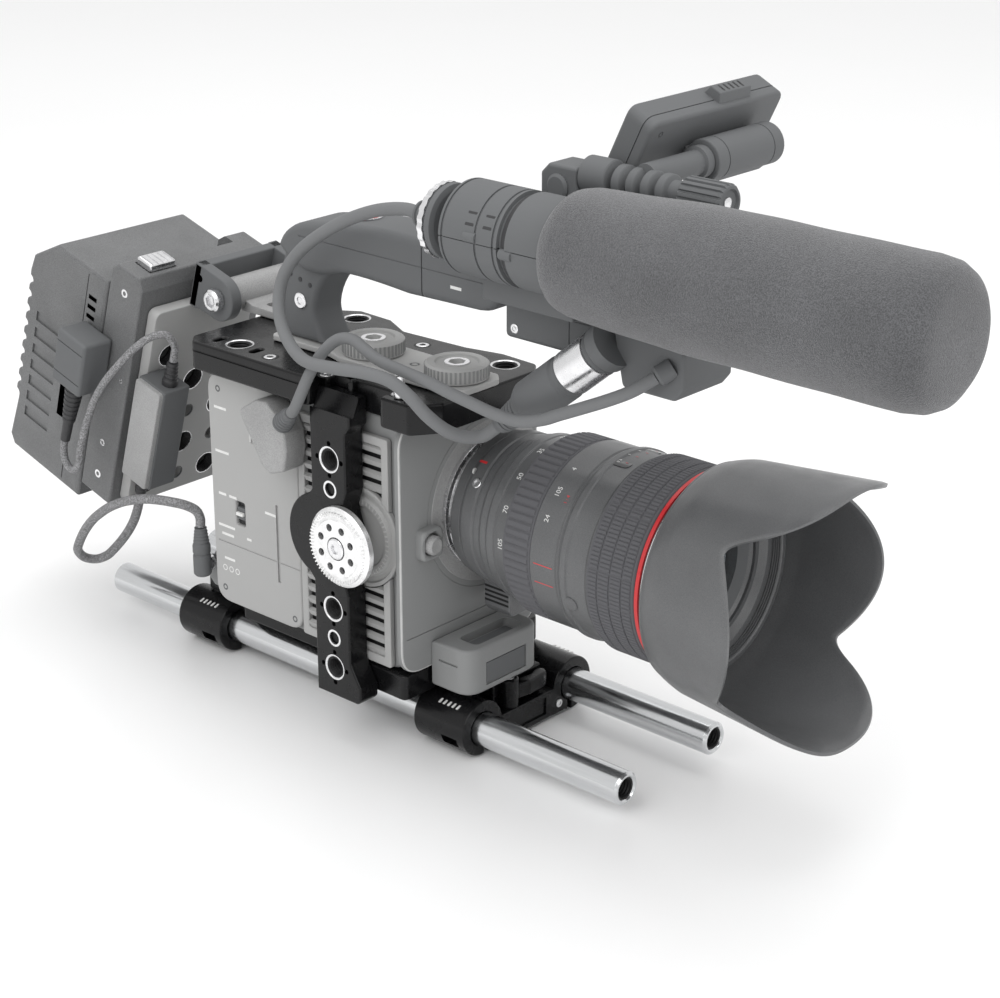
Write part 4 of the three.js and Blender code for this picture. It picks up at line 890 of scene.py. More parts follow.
def cage_base():
    low, high = span("cage_base_plate")
    post_low = span("cage_right_post")[0]
    shape = [(low.x, -24), (low.x + 6, -30), (-232, -30), (-222, -42), (post_low.x - 6, -42),
        (post_low.x, low.y), (high.x, low.y), (high.x, high.y - 8), (high.x - 8, high.y), (-222, high.y),
        (-232, 30), (low.x + 6, 30), (low.x, 24)]
    parts = [(plate(rounded(shape, 3), Z, low.z, high.z, edge=0.9), anodised_black())]
    for x in (-215, -180, -145):
        parts += ringed_hole(x, 0, low.z, (0, 0, -1), 4.4 if x != -180 else 5.2)
        parts.append((socket_screw((x + 17, 20, low.z - 0.1), (0, 0, -1), 3, 0.5), bright_metal()))
    piece("base_plate", parts, "cage_base_plate")


def hinge_foot():
    low, high = span("hinge_base")
    pivot = joint_place("hinge_lock_turn")
    knuckle = lathe([(3.4, low.y), (8, low.y), (8, high.y), (3.4, high.y), (3.4, low.y)], Y,
        (pivot.x, 0, pivot.z), soften=0.6)
    arm = plate(rounded([(pivot.x, 155.3), (high.x, 155.3), (high.x, 158.8), (pivot.x + 12, 159.3),
        (pivot.x, 163.3)], 1.2), Y, low.y + 4, high.y - 10, edge=0.6)
    slot = plate(box_outline(high.x - 25, low.y + 9, high.x - 8, low.y + 14.5, 2.6), Z, low.z, 161)
    arm = carved(arm, [slot])
    parts = [(knuckle, light_plastic()), (arm, light_plastic())]
    parts.append((socket_screw((high.x - 12, low.y + 20, 158.7), (0, 0, 1), 2.6, 0.8), bright_metal()))
    piece("hinge_arm", parts, "hinge_base")


# ---- camera body
def side_mark(x, z, width, height=1.2, material=None, face=None):
    """A plain printed dash on the side cover."""
    y = (span("right_side_cover")[0].y if face is None else face) - 0.06
    return block((x - width / 2, y, z - height / 2), (x + width / 2, y + 0.3, z + height / 2),
        0), material or mark_paint()


def chassis():
    low, high = span("camera_chassis")
    body = plate(box_outline(low.x, low.z, high.x, high.z, 9, 8), Y, low.y, high.y, edge=1.6)
    far = high.y
    tools = [block((low.x + 10, far - 0.8, low.z + 16), (high.x - 18, far + 1, high.z - 12), 0)]
    for z in (low.z + 30, low.z + 58, low.z + 86):
        tools.append(block((low.x - 1, low.y + 10, z), (low.x + 0.7, far - 10, z + 1), 0))
    body = carved(body, tools)
    screen = block((low.x + 12, far - 0.7, low.z + 18), (high.x - 20, far - 0.1, high.z - 14), 1.0)
    parts = [(body, camera_front()), (screen, light_plastic())]
    for k in range(5):
        button = disc(3.2, far - 0.3, far - 0.02, Y, (low.x + 22 + k * 15, 0, low.z + 24))
        parts.append((button, dark_plastic()))
    dial = lathe([(0, far - 0.5), (9, far - 0.5), (9, far - 0.05), (6, far - 0.02), (0, far - 0.2)], Y,
        (high.x - 36, 0, low.z + 50))
    parts.append((dial, dark_plastic()))
    strip = block((low.x + 14, far - 0.2, high.z - 40), (high.x - 50, far - 0.05, high.z - 22), 0.5)
    parts.append((strip, screen_glass()))
    piece("chassis", parts, "camera_chassis")


def side_cover():
    low, high = span("right_side_cover")
    switch_low, switch_high = span("timecode_switch")
    sx, sz = (switch_low.x + switch_high.x) / 2, (switch_low.z + switch_high.z) / 2
    arch = [(-177, 110), (-177, 121)] + arc(-188, 121, 11, 0, 180, 16)[1:-1] + [(-199, 121), (-199, 110)]
    shape = box_outline(low.x, low.z, high.x, high.z, 9, 8)
    body = plate(shape, Y, low.y, high.y, [arch, box_outline(sx - 3, sz - 5.8, sx + 3, sz + 5.8, 1)], 0.9)
    tools = [block((-184.5, low.y - 1, 45), (-182.7, low.y + 0.9, 84), 0),
             block((low.x + 3, low.y - 1, 56.2), (high.x + 1, low.y + 0.35, 56.9), 0),
             plate(arc(-190, 41, 5.5, 90, 270) + arc(-182, 41, 5.5, -90, 90), Y, low.y - 1, low.y + 0.7,
                 edge=0)]
    body = carved(body, tools)
    parts = [(body, camera_shell())]
    oval = plate(arc(-190, 41, 4.9, 90, 270) + arc(-182, 41, 4.9, -90, 90), Y, low.y + 0.2, low.y + 1.4,
        edge=0.3)
    parts.append((oval, camera_front()))
    rim = [(-176, 110), (-176, 121)] + arc(-188, 121, 12, 0, 180, 20)[1:-1] + [(-200, 121), (-200, 110)]
    parts += [(plate(rim, Y, low.y - 0.25, low.y + 0.4, [arch], 0.2), worn_rim()),
        (block((-198, low.y + 1.6, 111), (-178, high.y, 131), 0), dark_plastic()),
        (block((sx - 2.9, high.y - 0.4, sz - 5.6), (sx + 2.9, high.y, sz + 5.6), 0), dark_mark())]
    if sizes().marks:
        for x, z, width in ((-219, 121.5, 8), (-219, 100.5, 9), (-220, 80, 5), (-213, 80, 5),
                (-218, 64.5, 11), (-217.5, 60.5, 8), (-217, 48.5, 7), (-188, 78.5, 7), (-203, 62, 3)):
            parts.append(side_mark(x, z, width))
        for k in range(3):
            parts.append((ring(1.5, 1.05, low.y - 0.05, low.y + 0.2, Y, (-220.5 + 4.2 * k, 0, 43.5), 32),
                mark_paint()))
    for x, z in ((low.x + 6, low.z + 7), (high.x - 5, low.z + 5), (low.x + 7, high.z - 7)):
        parts.append((socket_screw((x, low.y + 0.3, z), (0, -1, 0), 1.7, 0.35), dark_plastic()))
    piece("cover_panel", parts, "right_side_cover")
    low, high = switch_low, switch_high
    knob = block((low.x, low.y + 1.3, low.z), (high.x, high.y, high.z), 0.3)
    rib = block((low.x + 0.3, low.y, sz - 0.8), (high.x - 0.3, high.y - 1, sz + 0.8), 0.25)
    piece("switch_knob", [(knob, dark_plastic()), (rib, mark_paint())], "timecode_switch")


def vent_grille():
    """A frame round slanted slats, the slats repeated up the grille."""
    low, high = span("vent_grille")
    cap_low, cap_high = span("grip_socket_cap")
    cx, cz = (cap_low.x + cap_high.x) / 2, (cap_low.z + cap_high.z) / 2
    radius = (cap_high.x - cap_low.x) / 2 + 0.4
    count = sizes().louvres
    inner = box_outline(low.x + 4, low.z + 4, high.x - 4, high.z - 4, 1.2)
    rim = plate(box_outline(low.x, low.z, high.x, high.z, 1.5), Y, low.y, high.y, [inner], 0.5)
    step = (high.z - low.z - 12) / (count - 1)
    first = Matrix.Translation(((low.x + high.x) / 2, (low.y + high.y) / 2, low.z + 6))
    slats = repeated_row("grille_slats", count, (0, 0, step), (high.x - low.x - 7, 2.1, step * 0.5),
        camera_shell(), first, (math.radians(24), 0, 0))
    bore = disc(radius, -4, 4, Y, (cx, (low.y + high.y) / 2, cz), 96)
    grille = carved(carved(rim, [slats], "UNION"), [bore])
    # painted shade: a thin dark sheet behind the slats stands for the shade inside the vent
    back = block((low.x + 3, high.y - 0.25, low.z + 3), (high.x - 3, high.y - 0.02, high.z - 3), 0)
    piece("louvred_grille", [(grille, camera_shell()), (back, thread_shadow())], "vent_grille")
    r, face, back = radius - 0.4, cap_low.y, cap_high.y
    cap = lathe([(0, face + 1.2), (r - 9.4, face + 1.2), (r - 8.6, face + 0.2), (r - 7.6, face),
        (r - 5.4, face), (r - 4.6, face + 1.4), (r - 2.4, face + 1.4), (r - 1.8, face + 0.3),
        (r - 0.3, face + 0.3), (r, face + 0.8), (r, back), (0, back)], Y, (cx, 0, cz), 128)
    teeth = repeated_round("grip_teeth", 48, r - 6.5, (1.6, 0.7, 0.5), camera_shell(),
        Matrix.Translation((cx, face + 0.05, cz)) @ Matrix.Rotation(math.pi / 2, 4, "X"))
    piece("grip_ring", [(cap, camera_shell()), (teeth, worn_rim())], "grip_socket_cap")


def front_bezel():
    low, high = span("front_bezel")
    button_low, button_high = span("lens_release_button")
    by, bz = (button_low.y + button_high.y) / 2, (button_low.z + button_high.z) / 2
    lens_y, lens_z = lens_axis()
    back, face = low.x, low.x + 3.7
    shape = box_outline(low.y, low.z, high.y, high.z, 12, 10)
    body = plate(shape, X, back, face, [circle(lens_y, lens_z, 23, 64)], 1.3)
    seam = ring(40, 39.4, face - 0.3, face + 1, X, (0, lens_y, lens_z), 112)
    body = carved(body, [seam, block((face - 0.4, low.y + 3, low.z + 17),
        (face + 1, high.y - 3, low.z + 17.6), 0)])
    rim_outer = box_outline(low.y + 0.1, low.z + 0.1, high.y - 0.1, high.z - 0.1, 12, 10)
    rim_inner = box_outline(low.y + 1.9, low.z + 1.9, high.y - 1.9, high.z - 1.9, 11, 10)
    rim = plate(rim_outer, X, face - 1.2, face - 0.15, [rim_inner], 0.3)
    cone = lathe([(24, face - 0.5), (37.5, face - 0.5), (37, face + 0.15), (33, face + 0.25),
        (24, face + 0.25), (24, face - 0.5)], X, (0, lens_y, lens_z))
    collar_shape = box_outline(by - 6, bz - 7, by + 7, bz + 7, 3.4)
    collar = plate(collar_shape, X, back + 2, high.x, [circle(by, bz, 4.8, 40)], 1.3)
    parts = [(body, camera_front()), (rim, worn_rim()), (cone, light_plastic()), (collar, camera_front())]
    piece("front_frame", parts, "front_bezel")
    press = lathe([(0, button_low.x), (4.3, button_low.x), (4.3, button_high.x - 1.2),
        (3.2, button_high.x - 0.1), (1.5, button_high.x - 0.4), (0, button_high.x - 0.5)], X, (0, by, bz), 64)
    piece("release_button", [(press, light_plastic())], "lens_release_button")


def front_block():
    low, high = span("front_block")
    outer = rounded([(low.x, low.y), (high.x, low.y), (high.x, high.y), (low.x, high.y)], 9, 8, closed=False)
    body = plate(outer, Z, low.z, high.z, edge=1.6)
    recess = plate(box_outline(low.x + 7, low.y + 9, high.x - 4, high.y - 7, 3), Z, high.z - 4, high.z + 3,
        edge=0)
    window = block((high.x - 0.9, low.y + 11, low.z + 3), (high.x + 1, high.y - 10, high.z - 7.5), 0)
    side = block((low.x + 4, low.y - 1, high.z - 8.6), (high.x - 7, low.y + 0.8, high.z - 7.6), 0)
    body = carved(body, [recess, window, side])
    lens_low = block((low.x + 8.5, low.y + 11, high.z - 3.9), (high.x - 6, high.y - 9, high.z - 3.2), 0.4)
    glass = block((high.x - 0.85, low.y + 11.6, low.z + 3.6), (high.x - 0.3, high.y - 10.6, high.z - 8.1),
        0.2)
    pad = block((low.x + 1, low.y + 6, high.z - 0.6), (low.x + 5.5, high.y - 6, high.z - 0.02), 0.2)
    piece("front_lower_block", [(body, camera_front()), (lens_low, dark_plastic()), (glass, dark_plastic()),
        (pad, light_plastic())], "front_block")


def rear_bay():
    low, high = span("rear_battery_bay")
    shape = [(high.x, low.z), (high.x, high.z), (low.x + 6, high.z - 3), (low.x, high.z - 12),
        (low.x, low.z + 4), (low.x + 4, low.z)]
    body = plate(rounded(shape, 2.5), Y, low.y, high.y, edge=1.2)
    grips = [block((low.x - 1, low.y + 8 + 4 * k, low.z + 6), (low.x + 0.6, low.y + 10 + 4 * k, low.z + 9.4),
        0) for k in range(12)]
    body = carved(body, grips)
    piece("rear_bay", [(body, camera_front())], "rear_battery_bay")


# ---- lens
def lens_axis():
    low, high = span("lens_mount")
    return (low.y + high.y) / 2, (low.z + high.z) / 2


def lens_turned(profile, steps=None, wave=None, soften=0.25):
    y, z = lens_axis()
    return lathe(profile, X, (0, y, z), steps or 144, wave, soften)


def ribbed(ribs, depth, share=0.5):
    """A wave that cuts that many grooves round a ring; it works on the outer wall only."""
    def wave(angle, radius, station):
        phase = (angle / math.tau * ribs) % 1
        return radius - depth if phase > share else radius
    return wave


def on_barrel(text, x, radius, angle, size, material, turn=math.pi / 2):
    """Scale figures bent round the lens, at an angle from the top towards the camera's right."""
    curve = bpy.data.curves.new("figure", "FONT")
    curve.body = text
    curve.size = size
    curve.extrude = 0.05
    curve.align_x = "CENTER"
    curve.align_y = "CENTER"
    holder = bpy.data.objects.new("figure", curve)
    solid = from_mesh(bpy.data.meshes.new_from_object(holder))
    bpy.data.objects.remove(holder)
    bpy.data.curves.remove(curve)
    solid.transform(Matrix.Rotation(turn, 4, "Z"))
    y, z = lens_axis()
    for vert in solid.verts:
        a = angle - vert.co.y / radius
        r = radius + 0.02 + vert.co.z
        vert.co = (x + vert.co.x, y - r * math.sin(a), z + r * math.cos(a))
    bmesh.ops.recalc_face_normals(solid, faces=solid.faces)
    return solid, material


def barrel_line(x0, x1, radius, angle, width, material):
    """A thin painted line on the barrel."""
    y, z = lens_axis()
    line = block((x0, -width / 2, -0.05), (x1, width / 2, 0.09), 0)
    line.transform(Matrix.Translation((0, y, z)) @ Matrix.Rotation(angle, 4, "X") @ Matrix.Translation((0, 0,
        radius)))
    return line, material


def lens_rear():
    low, high = span("lens_mount")
    y, z = lens_axis()
    mount = lens_turned([(24, low.x), (31, low.x), (31, low.x + 2), (29.5, low.x + 2.6), (29.5, high.x),
        (24, high.x), (24, low.x)])
    piece("mount_ring", [(mount, bright_metal())], "lens_mount")
    low, high = span("lens_adapter")
    a, b = low.x, high.x
    tube = lens_turned([(24, a), (31.6, a), (32.6, a + 1), (32.6, a + 5.6), (31.8, a + 6.2), (31.8, a + 7.4),
        (34.3, a + 8.6), (34.3, b - 10), (33.7, b - 9.4), (33.7, b - 8.4), (34.3, b - 7.8), (34.3, b - 5),
        (35.4, b - 3.2), (35.4, b), (24, b), (24, a)])
    foot = plate(rounded([(-13, low.z), (13, low.z), (15, low.z + 3), (15, low.z + 17), (-15, low.z + 17),
        (-15, low.z + 3)], 1.5), X, a + 4, b - 4.7, edge=0.9)
    plate_under = block((a + 5.5, -11, low.z), (b - 6.4, 11, low.z + 0.9), 0.4)
    parts = [(tube, lens_paint()), (foot, lens_paint()), (plate_under, dark_plastic())]
    for k in range(4):
        groove = block((a + 4.6, -15.15, low.z + 5 + 2.2 * k), (b - 5.4, -14.8, low.z + 6 + 2.2 * k), 0.1)
        parts.append((groove, thread_shadow()))
    parts += [(moved(disc(1.4, a + 6.4, a + 7.2, X, (0, 0, 0), 32), 0, -23.5, z + 22.8), mark_paint()),
        barrel_line(b - 16, b - 12, 34.25, math.radians(38), 1.2, accent_paint()),
        (socket_screw((a + 12, y - 34.2 * math.sin(0.95), z + 34.2 * math.cos(0.95)),
            (0, -math.sin(0.95), math.cos(0.95)), 2.2, 0.5), bright_metal())]
    piece("mount_adapter", parts, "lens_adapter")


def lens_barrel():
    zoom_low, zoom_high = span("zoom_ring")
    focus_low, focus_high = span("focus_ring")
    low, high = span("lens_barrel")
    b, z0, z1, f0, f1, front = low.x, zoom_low.x, zoom_high.x, focus_low.x, focus_high.x, high.x
    w = z1 + 0.3
    profile = [(24, b), (36, b), (37, b + 1.6), (37, b + 5), (36.5, b + 5.5), (36.5, b + 6.1),
        (37.1, b + 6.6), (37.9, z0 - 0.3), (34, z0 - 0.3), (34, w), (40.4, w), (40.4, w + 13.2),
        (39.9, w + 13.8), (39.9, w + 14.6), (40.6, w + 15.2), (41.6, w + 17), (41.6, w + 19.4),
        (40.9, w + 20), (40.9, f0 - 1.6), (40.5, f0 - 1.2), (40.5, f0 - 0.3), (38, f0 - 0.3), (38, f1 + 0.3),
        (41.4, f1 + 0.3), (41.4, front - 1.2), (40.6, front - 0.2), (31.5, front - 0.2), (31.5, front - 40),
        (24, front - 44), (24, b)]
    body = lens_turned(profile)
    parts = [(body, lens_paint())]
    # painted reflection: after the red ring, a bright metal sleeve stands in for the white highlights on the
    # barrel's glossy black band
    parts += [(lens_turned([(41.2, f1 + 0.5), (42.3, f1 + 0.6), (42.3, f1 + 2.3), (41.2, f1 + 2.4),
        (41.2, f1 + 0.5)], soften=0.1), accent_paint()),
        (lens_turned([(41.2, f1 + 2.8), (41.7, f1 + 2.9), (41.7, front - 1.6), (41.2, front - 1.5),
            (41.2, f1 + 2.8)], soften=0.1), bright_metal())]
    y, z = lens_axis()
    for k, label in enumerate(("105", "70", "50", "35", "24")):
        parts += [on_barrel(label, z0 - 3.0, 37.6, math.radians(88 - 23 * k), 3.4, mark_paint()),
            barrel_line(z0 - 1.3, z0 - 0.5, 37.75, math.radians(88 - 23 * k), 0.4, mark_paint())]
    window = plate(box_outline(w + 16.6, -12, w + 27, 12, 2.5), Z, 40.6, 41.25, edge=0.2)
    for vert in window.verts:
        a = vert.co.y / 40.9
        r = vert.co.z
        vert.co = (vert.co.x, y + r * math.sin(a), z + r * math.cos(a))
    parts.append((window, screen_glass()))
    for k, label in enumerate(("0.5", "1", "2", "5")):
        parts += [on_barrel(label, w + 20.2, 41.2, math.radians(12 - 9 * k), 2.2, mark_paint()),
            on_barrel("I", w + 24.4, 41.2, math.radians(12 - 9 * k), 1.8, accent_paint())]
    for k, label in enumerate(("24", "105", "4")):
        parts.append(on_barrel(label, w + 5.2, 40.4, math.radians(62 - 17 * k), 3.2, mark_paint()))
    parts.append(on_barrel("1 : 4", w + 10.8, 40.4, math.radians(48), 2.2, accent_paint()))
    parts.append((between([(0, -1.2), (3.4, -1.2), (3.4, 1.2), (2.6, 1.7), (0, 1.7)],
        (w + 21, y - 40 * math.sin(1.9), z + 40 * math.cos(1.9)), (w + 21, y - 50 * math.sin(1.9),
            z + 50 * math.cos(1.9))), lens_paint()))
    for side in (-1, 1):
        parts.append(barrel_line(w + 2, w + 12, 40.35, math.radians(96 + side * 6), 0.35, accent_paint()))
    piece("barrel", parts, "lens_barrel")


def lens_rings():
    for name, ribs, depth, share in (("zoom_ring", sizes().zoom_ribs, 0.75, 0.62),
            ("focus_ring", sizes().focus_ribs, 0.45, 0.55)):
        low, high = span(name)
        radius = (high.z - low.z) / 2
        core = radius - 6.1 if name == "zoom_ring" else radius - 6.3
        grooves = ribbed(ribs, depth, share)
        a, b = low.x, high.x
        wave = lambda angle, r, h: grooves(angle, r, h) if r > radius - 0.3 and a + 1 < h < b - 1 else r
        profile = [(core, a), (radius - 0.9, a), (radius - 0.5, a + 0.5), (radius - 0.5, a + 1.3),
            (radius, a + 1.6)]
        if name == "focus_ring":
            for k in range(1, 4):
                at = a + (b - a) * k / 4
                profile += [(radius, at - 0.5), (radius - 0.55, at - 0.35), (radius - 0.55, at + 0.35),
                    (radius, at + 0.5)]
        profile += [(radius, b - 1.6), (radius - 0.5, b - 1.3), (radius - 0.5, b - 0.5), (radius - 0.9, b),
            (core, b), (core, a)]
        ring_solid = lens_turned(profile, ribs * 4, wave, 0)
        piece(name + "_rubber", [(ring_solid, lens_rubber())], name, weighted=False)


def lens_front():
    low, high = span("front_barrel")
    front = high.x - 8
    step = [(24, low.x), (31, low.x), (31, front + 0.4), (42.4, front + 0.4), (43.1, front + 1.6),
        (43.1, front + 6.4), (42.3, front + 7.4), (39.6, front + 8)]
    threads = [(39.0 - 0.35 * (i % 2), front + 7.6 - 0.55 * i) for i in range(9)]
    inner = [(36.5, front + 2.6), (31, front - 1), (27.6, front - 3.5), (24.2, front - 4.2),
        (24.2, front - 9), (24, low.x)]
    shell = lens_turned(step + threads + inner, soften=0.15)
    parts = [(shell, lens_paint())]
    for k in range(18):
        if k % 3:
            parts.append(on_barrel("I", front + 0.9, 36.2, math.tau * k / 18, 1.6, mark_paint(), 0))
    trim = lens_turned([(24.2, front - 4.4), (29.5, front - 2.3), (29.3, front - 1.9), (24.2, front - 3.9),
        (24.2, front - 4.4)], soften=0.05)
    parts.append((trim, dark_plastic()))
    piece("front_tube", parts, "front_barrel")
    low, high = span("front_element")
    curve = [(0, high.x)] + [(24 * t, high.x - 5.0 * t * t) for t in (0.15, 0.3, 0.45, 0.6, 0.75, 0.88, 0.97)]
    glass = lens_turned(curve + [(23.5, high.x - 5.2), (23.5, low.x), (0, low.x)], soften=0)
    piece("front_glass", [(glass, coated_glass())], "front_element")


def hood_edge(angle):
    """How far forward the hood reaches: tall petals above and below, short ones at the sides."""
    notch, tall, short, split, blend = 50.5, 36.5, 14.5, math.radians(49), 14
    a = abs((angle + math.pi / 2) % math.pi - math.pi / 2)
    petal = notch + tall * (1 - (a / split) ** 3.2)
    side = notch + short * math.sin((a - split) / (math.pi / 2 - split) * math.pi / 2)
    near = max(0, 1 - abs(petal - side) / blend)
    return max(petal, side) + blend / 4 * near * near


def lens_hood():
    low = span("lens_hood")[0]
    y, z = lens_axis()
    rear, seat, wall = low.x, 43.5, sizes().hood_wall
    around, along = 288, 30
    solid = bmesh.new()
    rows = []
    for inset, order in ((0, range(along + 1)), (wall, range(along, -1, -1))):
        for k in order:
            share = (k / along) ** 1.15
            row = []
            for i in range(around):
                a = i / around * math.tau
                edge = hood_edge(a) - 0.25
                x = rear + (edge - rear) * share
                flare = min(1, (x - rear) / 10)
                radius = seat + 2.2 + 3.2 * math.sqrt(flare) + 6.3 * (x - rear) / 70 - inset
                if k == along:
                    radius += 0.35 if inset else -0.35
                row.append(solid.verts.new((x, y + radius * math.sin(a), z + radius * math.cos(a))))
            rows.append(row)
    for here, there in zip(rows, rows[1:] + rows[:1]):
        for i in range(around):
            j = (i + 1) % around
            solid.faces.new((here[i], there[i], there[j], here[j]))
    bmesh.ops.recalc_face_normals(solid, faces=solid.faces)
    parts = [(solid, lens_paint())]
    lip = lens_turned([(seat + 2.1, rear + 0.2), (seat + 3.3, rear + 0.4), (seat + 3.6, rear + 1.4),
        (seat + 3.2, rear + 2.2), (seat + 2.1, rear + 2.2), (seat + 2.1, rear + 0.2)], soften=0.1)
    parts += [(lip, lens_paint()),
        barrel_line(rear + 3.2, rear + 6.4, seat + 4.0, math.radians(52), 1.0, accent_paint()),
        (ring(0.9, 0.5, 0, 0.2, Z, (0, 0, 0), 24), mark_paint())]
    mark = parts[-1][0]
    mark.transform(Matrix.Translation((rear + 9, y, z)) @ Matrix.Rotation(math.radians(52), 4,
        "X") @ Matrix.Translation((0, 0, seat + 5.3)))
    piece("petal_hood", parts, "lens_hood")


# ---- top handle
HANDLE_Y = -29
PLATE_TOP = 155.3


def bent(start, *quads, steps=8):
    """An outline of straight and quadratic runs: ("line", end) or (control, end)."""
    points = [start]
    for control, end in quads:
        here = points[-1]
        if control == "line":
            points.append(end)
            continue
        for k in range(1, steps + 1):
            t = k / steps
            shares = (1 - t) ** 2, 2 * t * (1 - t), t * t
            points.append(tuple(sum(s * p[i] for s, p in zip(shares, (here, control, end))) for i in (0, 1)))
    return points


def top_handle():
    y = HANDLE_Y
    bar = bent((-190, 200), ((-186, 210), (-172, 213)), ((-140, 219), (-110, 218)), ("line", (-72, 217)),
        ((-60, 216), (-60, 207)), ((-60, 195), (-72, 194)), ("line", (-112, 193)), ((-150, 196), (-156, 193)),
        ((-176, 186), (-190, 200)))
    leg = bent((-194, 158.4), ("line", (-165, 158.4)), ((-173, 168), (-172, 174)), ((-170, 186), (-156, 196)),
        ("line", (-164, 206)), ("line", (-188, 202)), ((-197, 180), (-194, 158.4)))
    grip = carved(plate(bar[:-1], Y, y - 13, y + 13, edge=3.2), [plate(leg[:-1], Y, y - 9, y + 9, edge=2.6)],
        "UNION")
    tools = [disc(4.9, 208, 224, Z, (-146, y, 0), 48), block((-103.4, y - 14, 192), (-102.8, y + 14, 219), 0),
             block((-176, y - 14, 206.2), (-60, y - 12.75, 206.7), 0)]
    grip = carved(grip, tools)
    parts = [(grip, dark_plastic())]
    parts.append((socket_screw((-180, y - 9.1, 176), (0, -1, 0), 3.6, 0.8), bright_metal()))
    for k in range(3):
        parts.append((disc(1.1, -0.4, 0.2, Y, (-186 + 6 * k, y - 8.9, 187 - 1.5 * k), 24), dark_mark()))
    parts += [(ring(5.9, 4.9, 217.2, 218.1, Z, (-146, y, 0)), bright_metal()),
        (side_mark(-84, 201.5, 6, 1.3, mark_paint(), y - 13)[0], mark_paint())]
    piece("handle_grip_shell", parts, "handle_grip")
    button = lathe([(0, 210.4), (4.4, 210.4), (4.4, 217.6), (3.6, 218.8), (1.6, 218.4), (0, 218.3)], Z,
        (-146, y, 0))
    piece("record_key", [(button, accent_paint())], "record_button")
    foot_shape = rounded([(-197, y - 12), (-160, y - 12), (-152, y - 14.5), (-86, y - 14.5), (-81.5, y - 10),
        (-81.5, y + 10), (-86, y + 14.5), (-152, y + 14.5), (-160, y + 12), (-197, y + 12)], 3)
    foot = plate(foot_shape, Z, PLATE_TOP, 158.1, edge=0.7)
    parts = [(foot, camera_shell())]
    for x in (-188, -120.5):
        parts.append((socket_screw((x, y + (6 if x < -150 else 0), 157.3), (0, 0, 1), 2.6, 0.8),
            dark_plastic()))
    piece("handle_foot_plate", parts, "handle_foot")
    for name, joint in (("front_foot_knob", "front_foot_knob_turn"),
            ("rear_foot_knob", "rear_foot_knob_turn")):
        at = joint_place(joint)
        low, high = span(name)
        core = lathe([(0, low.z), (13.2, low.z), (13.5, low.z + 0.6), (13.5, high.z - 0.9),
            (12.4, high.z - 0.1), (9.4, high.z - 0.1), (8.8, high.z - 0.9), (5.6, high.z - 0.9),
            (5.2, high.z - 0.4), (3.2, high.z - 0.4), (2.9, high.z - 2.6), (0, high.z - 2.6)], Z,
            (at.x, at.y, 0), 96)
        teeth = repeated_round(name + "_teeth", sizes().knob_teeth, 13.25, (0.95, 0.9, high.z - low.z - 1.8),
            camera_front(), Matrix.Translation((at.x, at.y, (low.z + high.z) / 2)))
        centre = lathe([(3.3, high.z - 2), (5.3, high.z - 2), (5.3, high.z - 0.25), (3.3, high.z - 0.25),
            (3.3, high.z - 2)], Z, (at.x, at.y, 0), 60, hexagonal(lambda r: r < 4), 0.1)
        piece(name + "_wheel", [(core, camera_shell()), (teeth, camera_front()), (centre, bright_metal())],
            name)


def audio_input_block():
    arm = block((-59.7, -40, 186), (9, -20, 214), 2.2)
    box = plate(rounded([(9, 183), (34, 183), (38, 188), (38, 202), (32, 206), (4, 206)], 2.5), Y, -50, -20,
        edge=1.2)
    tail, head, radius = Vector((-53, -50, 153)), Vector((0, -50, 196)), 9.3
    away = head + (tail - head)
    socket = between([(0, -6.5), (radius + 0.7, -6.5), (radius + 0.7, -1.2), (radius + 0.2, -0.3),
        (radius - 1.4, -0.3), (radius - 1.4, -1), (0, -1)], head, away, 64)
    boss = between([(0, 0), (3.4, 0), (4, 1), (4, 7), (0, 7)], (28.3, -53.3, 192.4), (31.8, -49.4, 195.5))
    body = carved(arm, [box, socket, boss], "UNION")
    tools = [block((-57, -41, 199.6), (3, -39.6, 200.1), 0), block((-26, -41, 184), (-25.5, -39.6, 215), 0)]
    body = carved(body, tools)
    parts = [(body, dark_plastic())]
    for x, z in ((-54, 190.5), (-54, 209.5), (4, 210)):
        parts.append((socket_screw((x, -40, z), (0, -1, 0), 2.0, 0.5), bright_metal()))
    for x in (-44, -36):
        parts.append((lathe([(0, -40.2), (3, -40.2), (3, -41.6), (2.4, -42), (0, -41.8)], Y, (x, 0, 206.4),
            40), dark_mark()))
    switch = block((-22, -40.9, 204), (-12, -39.8, 209), 0.3)
    parts += [(switch, dark_mark()),
        (block((-19, -41.7, 204.8), (-15.5, -40.5, 208.2), 0.3), mark_paint())]
    piece("input_block", parts, "audio_input_block")


# ---- microphone
def mic_turned(profile, steps=None, wave=None, soften=0.25):
    return lathe(profile, X, (0, -60, 235.5), steps or 96, wave, soften)


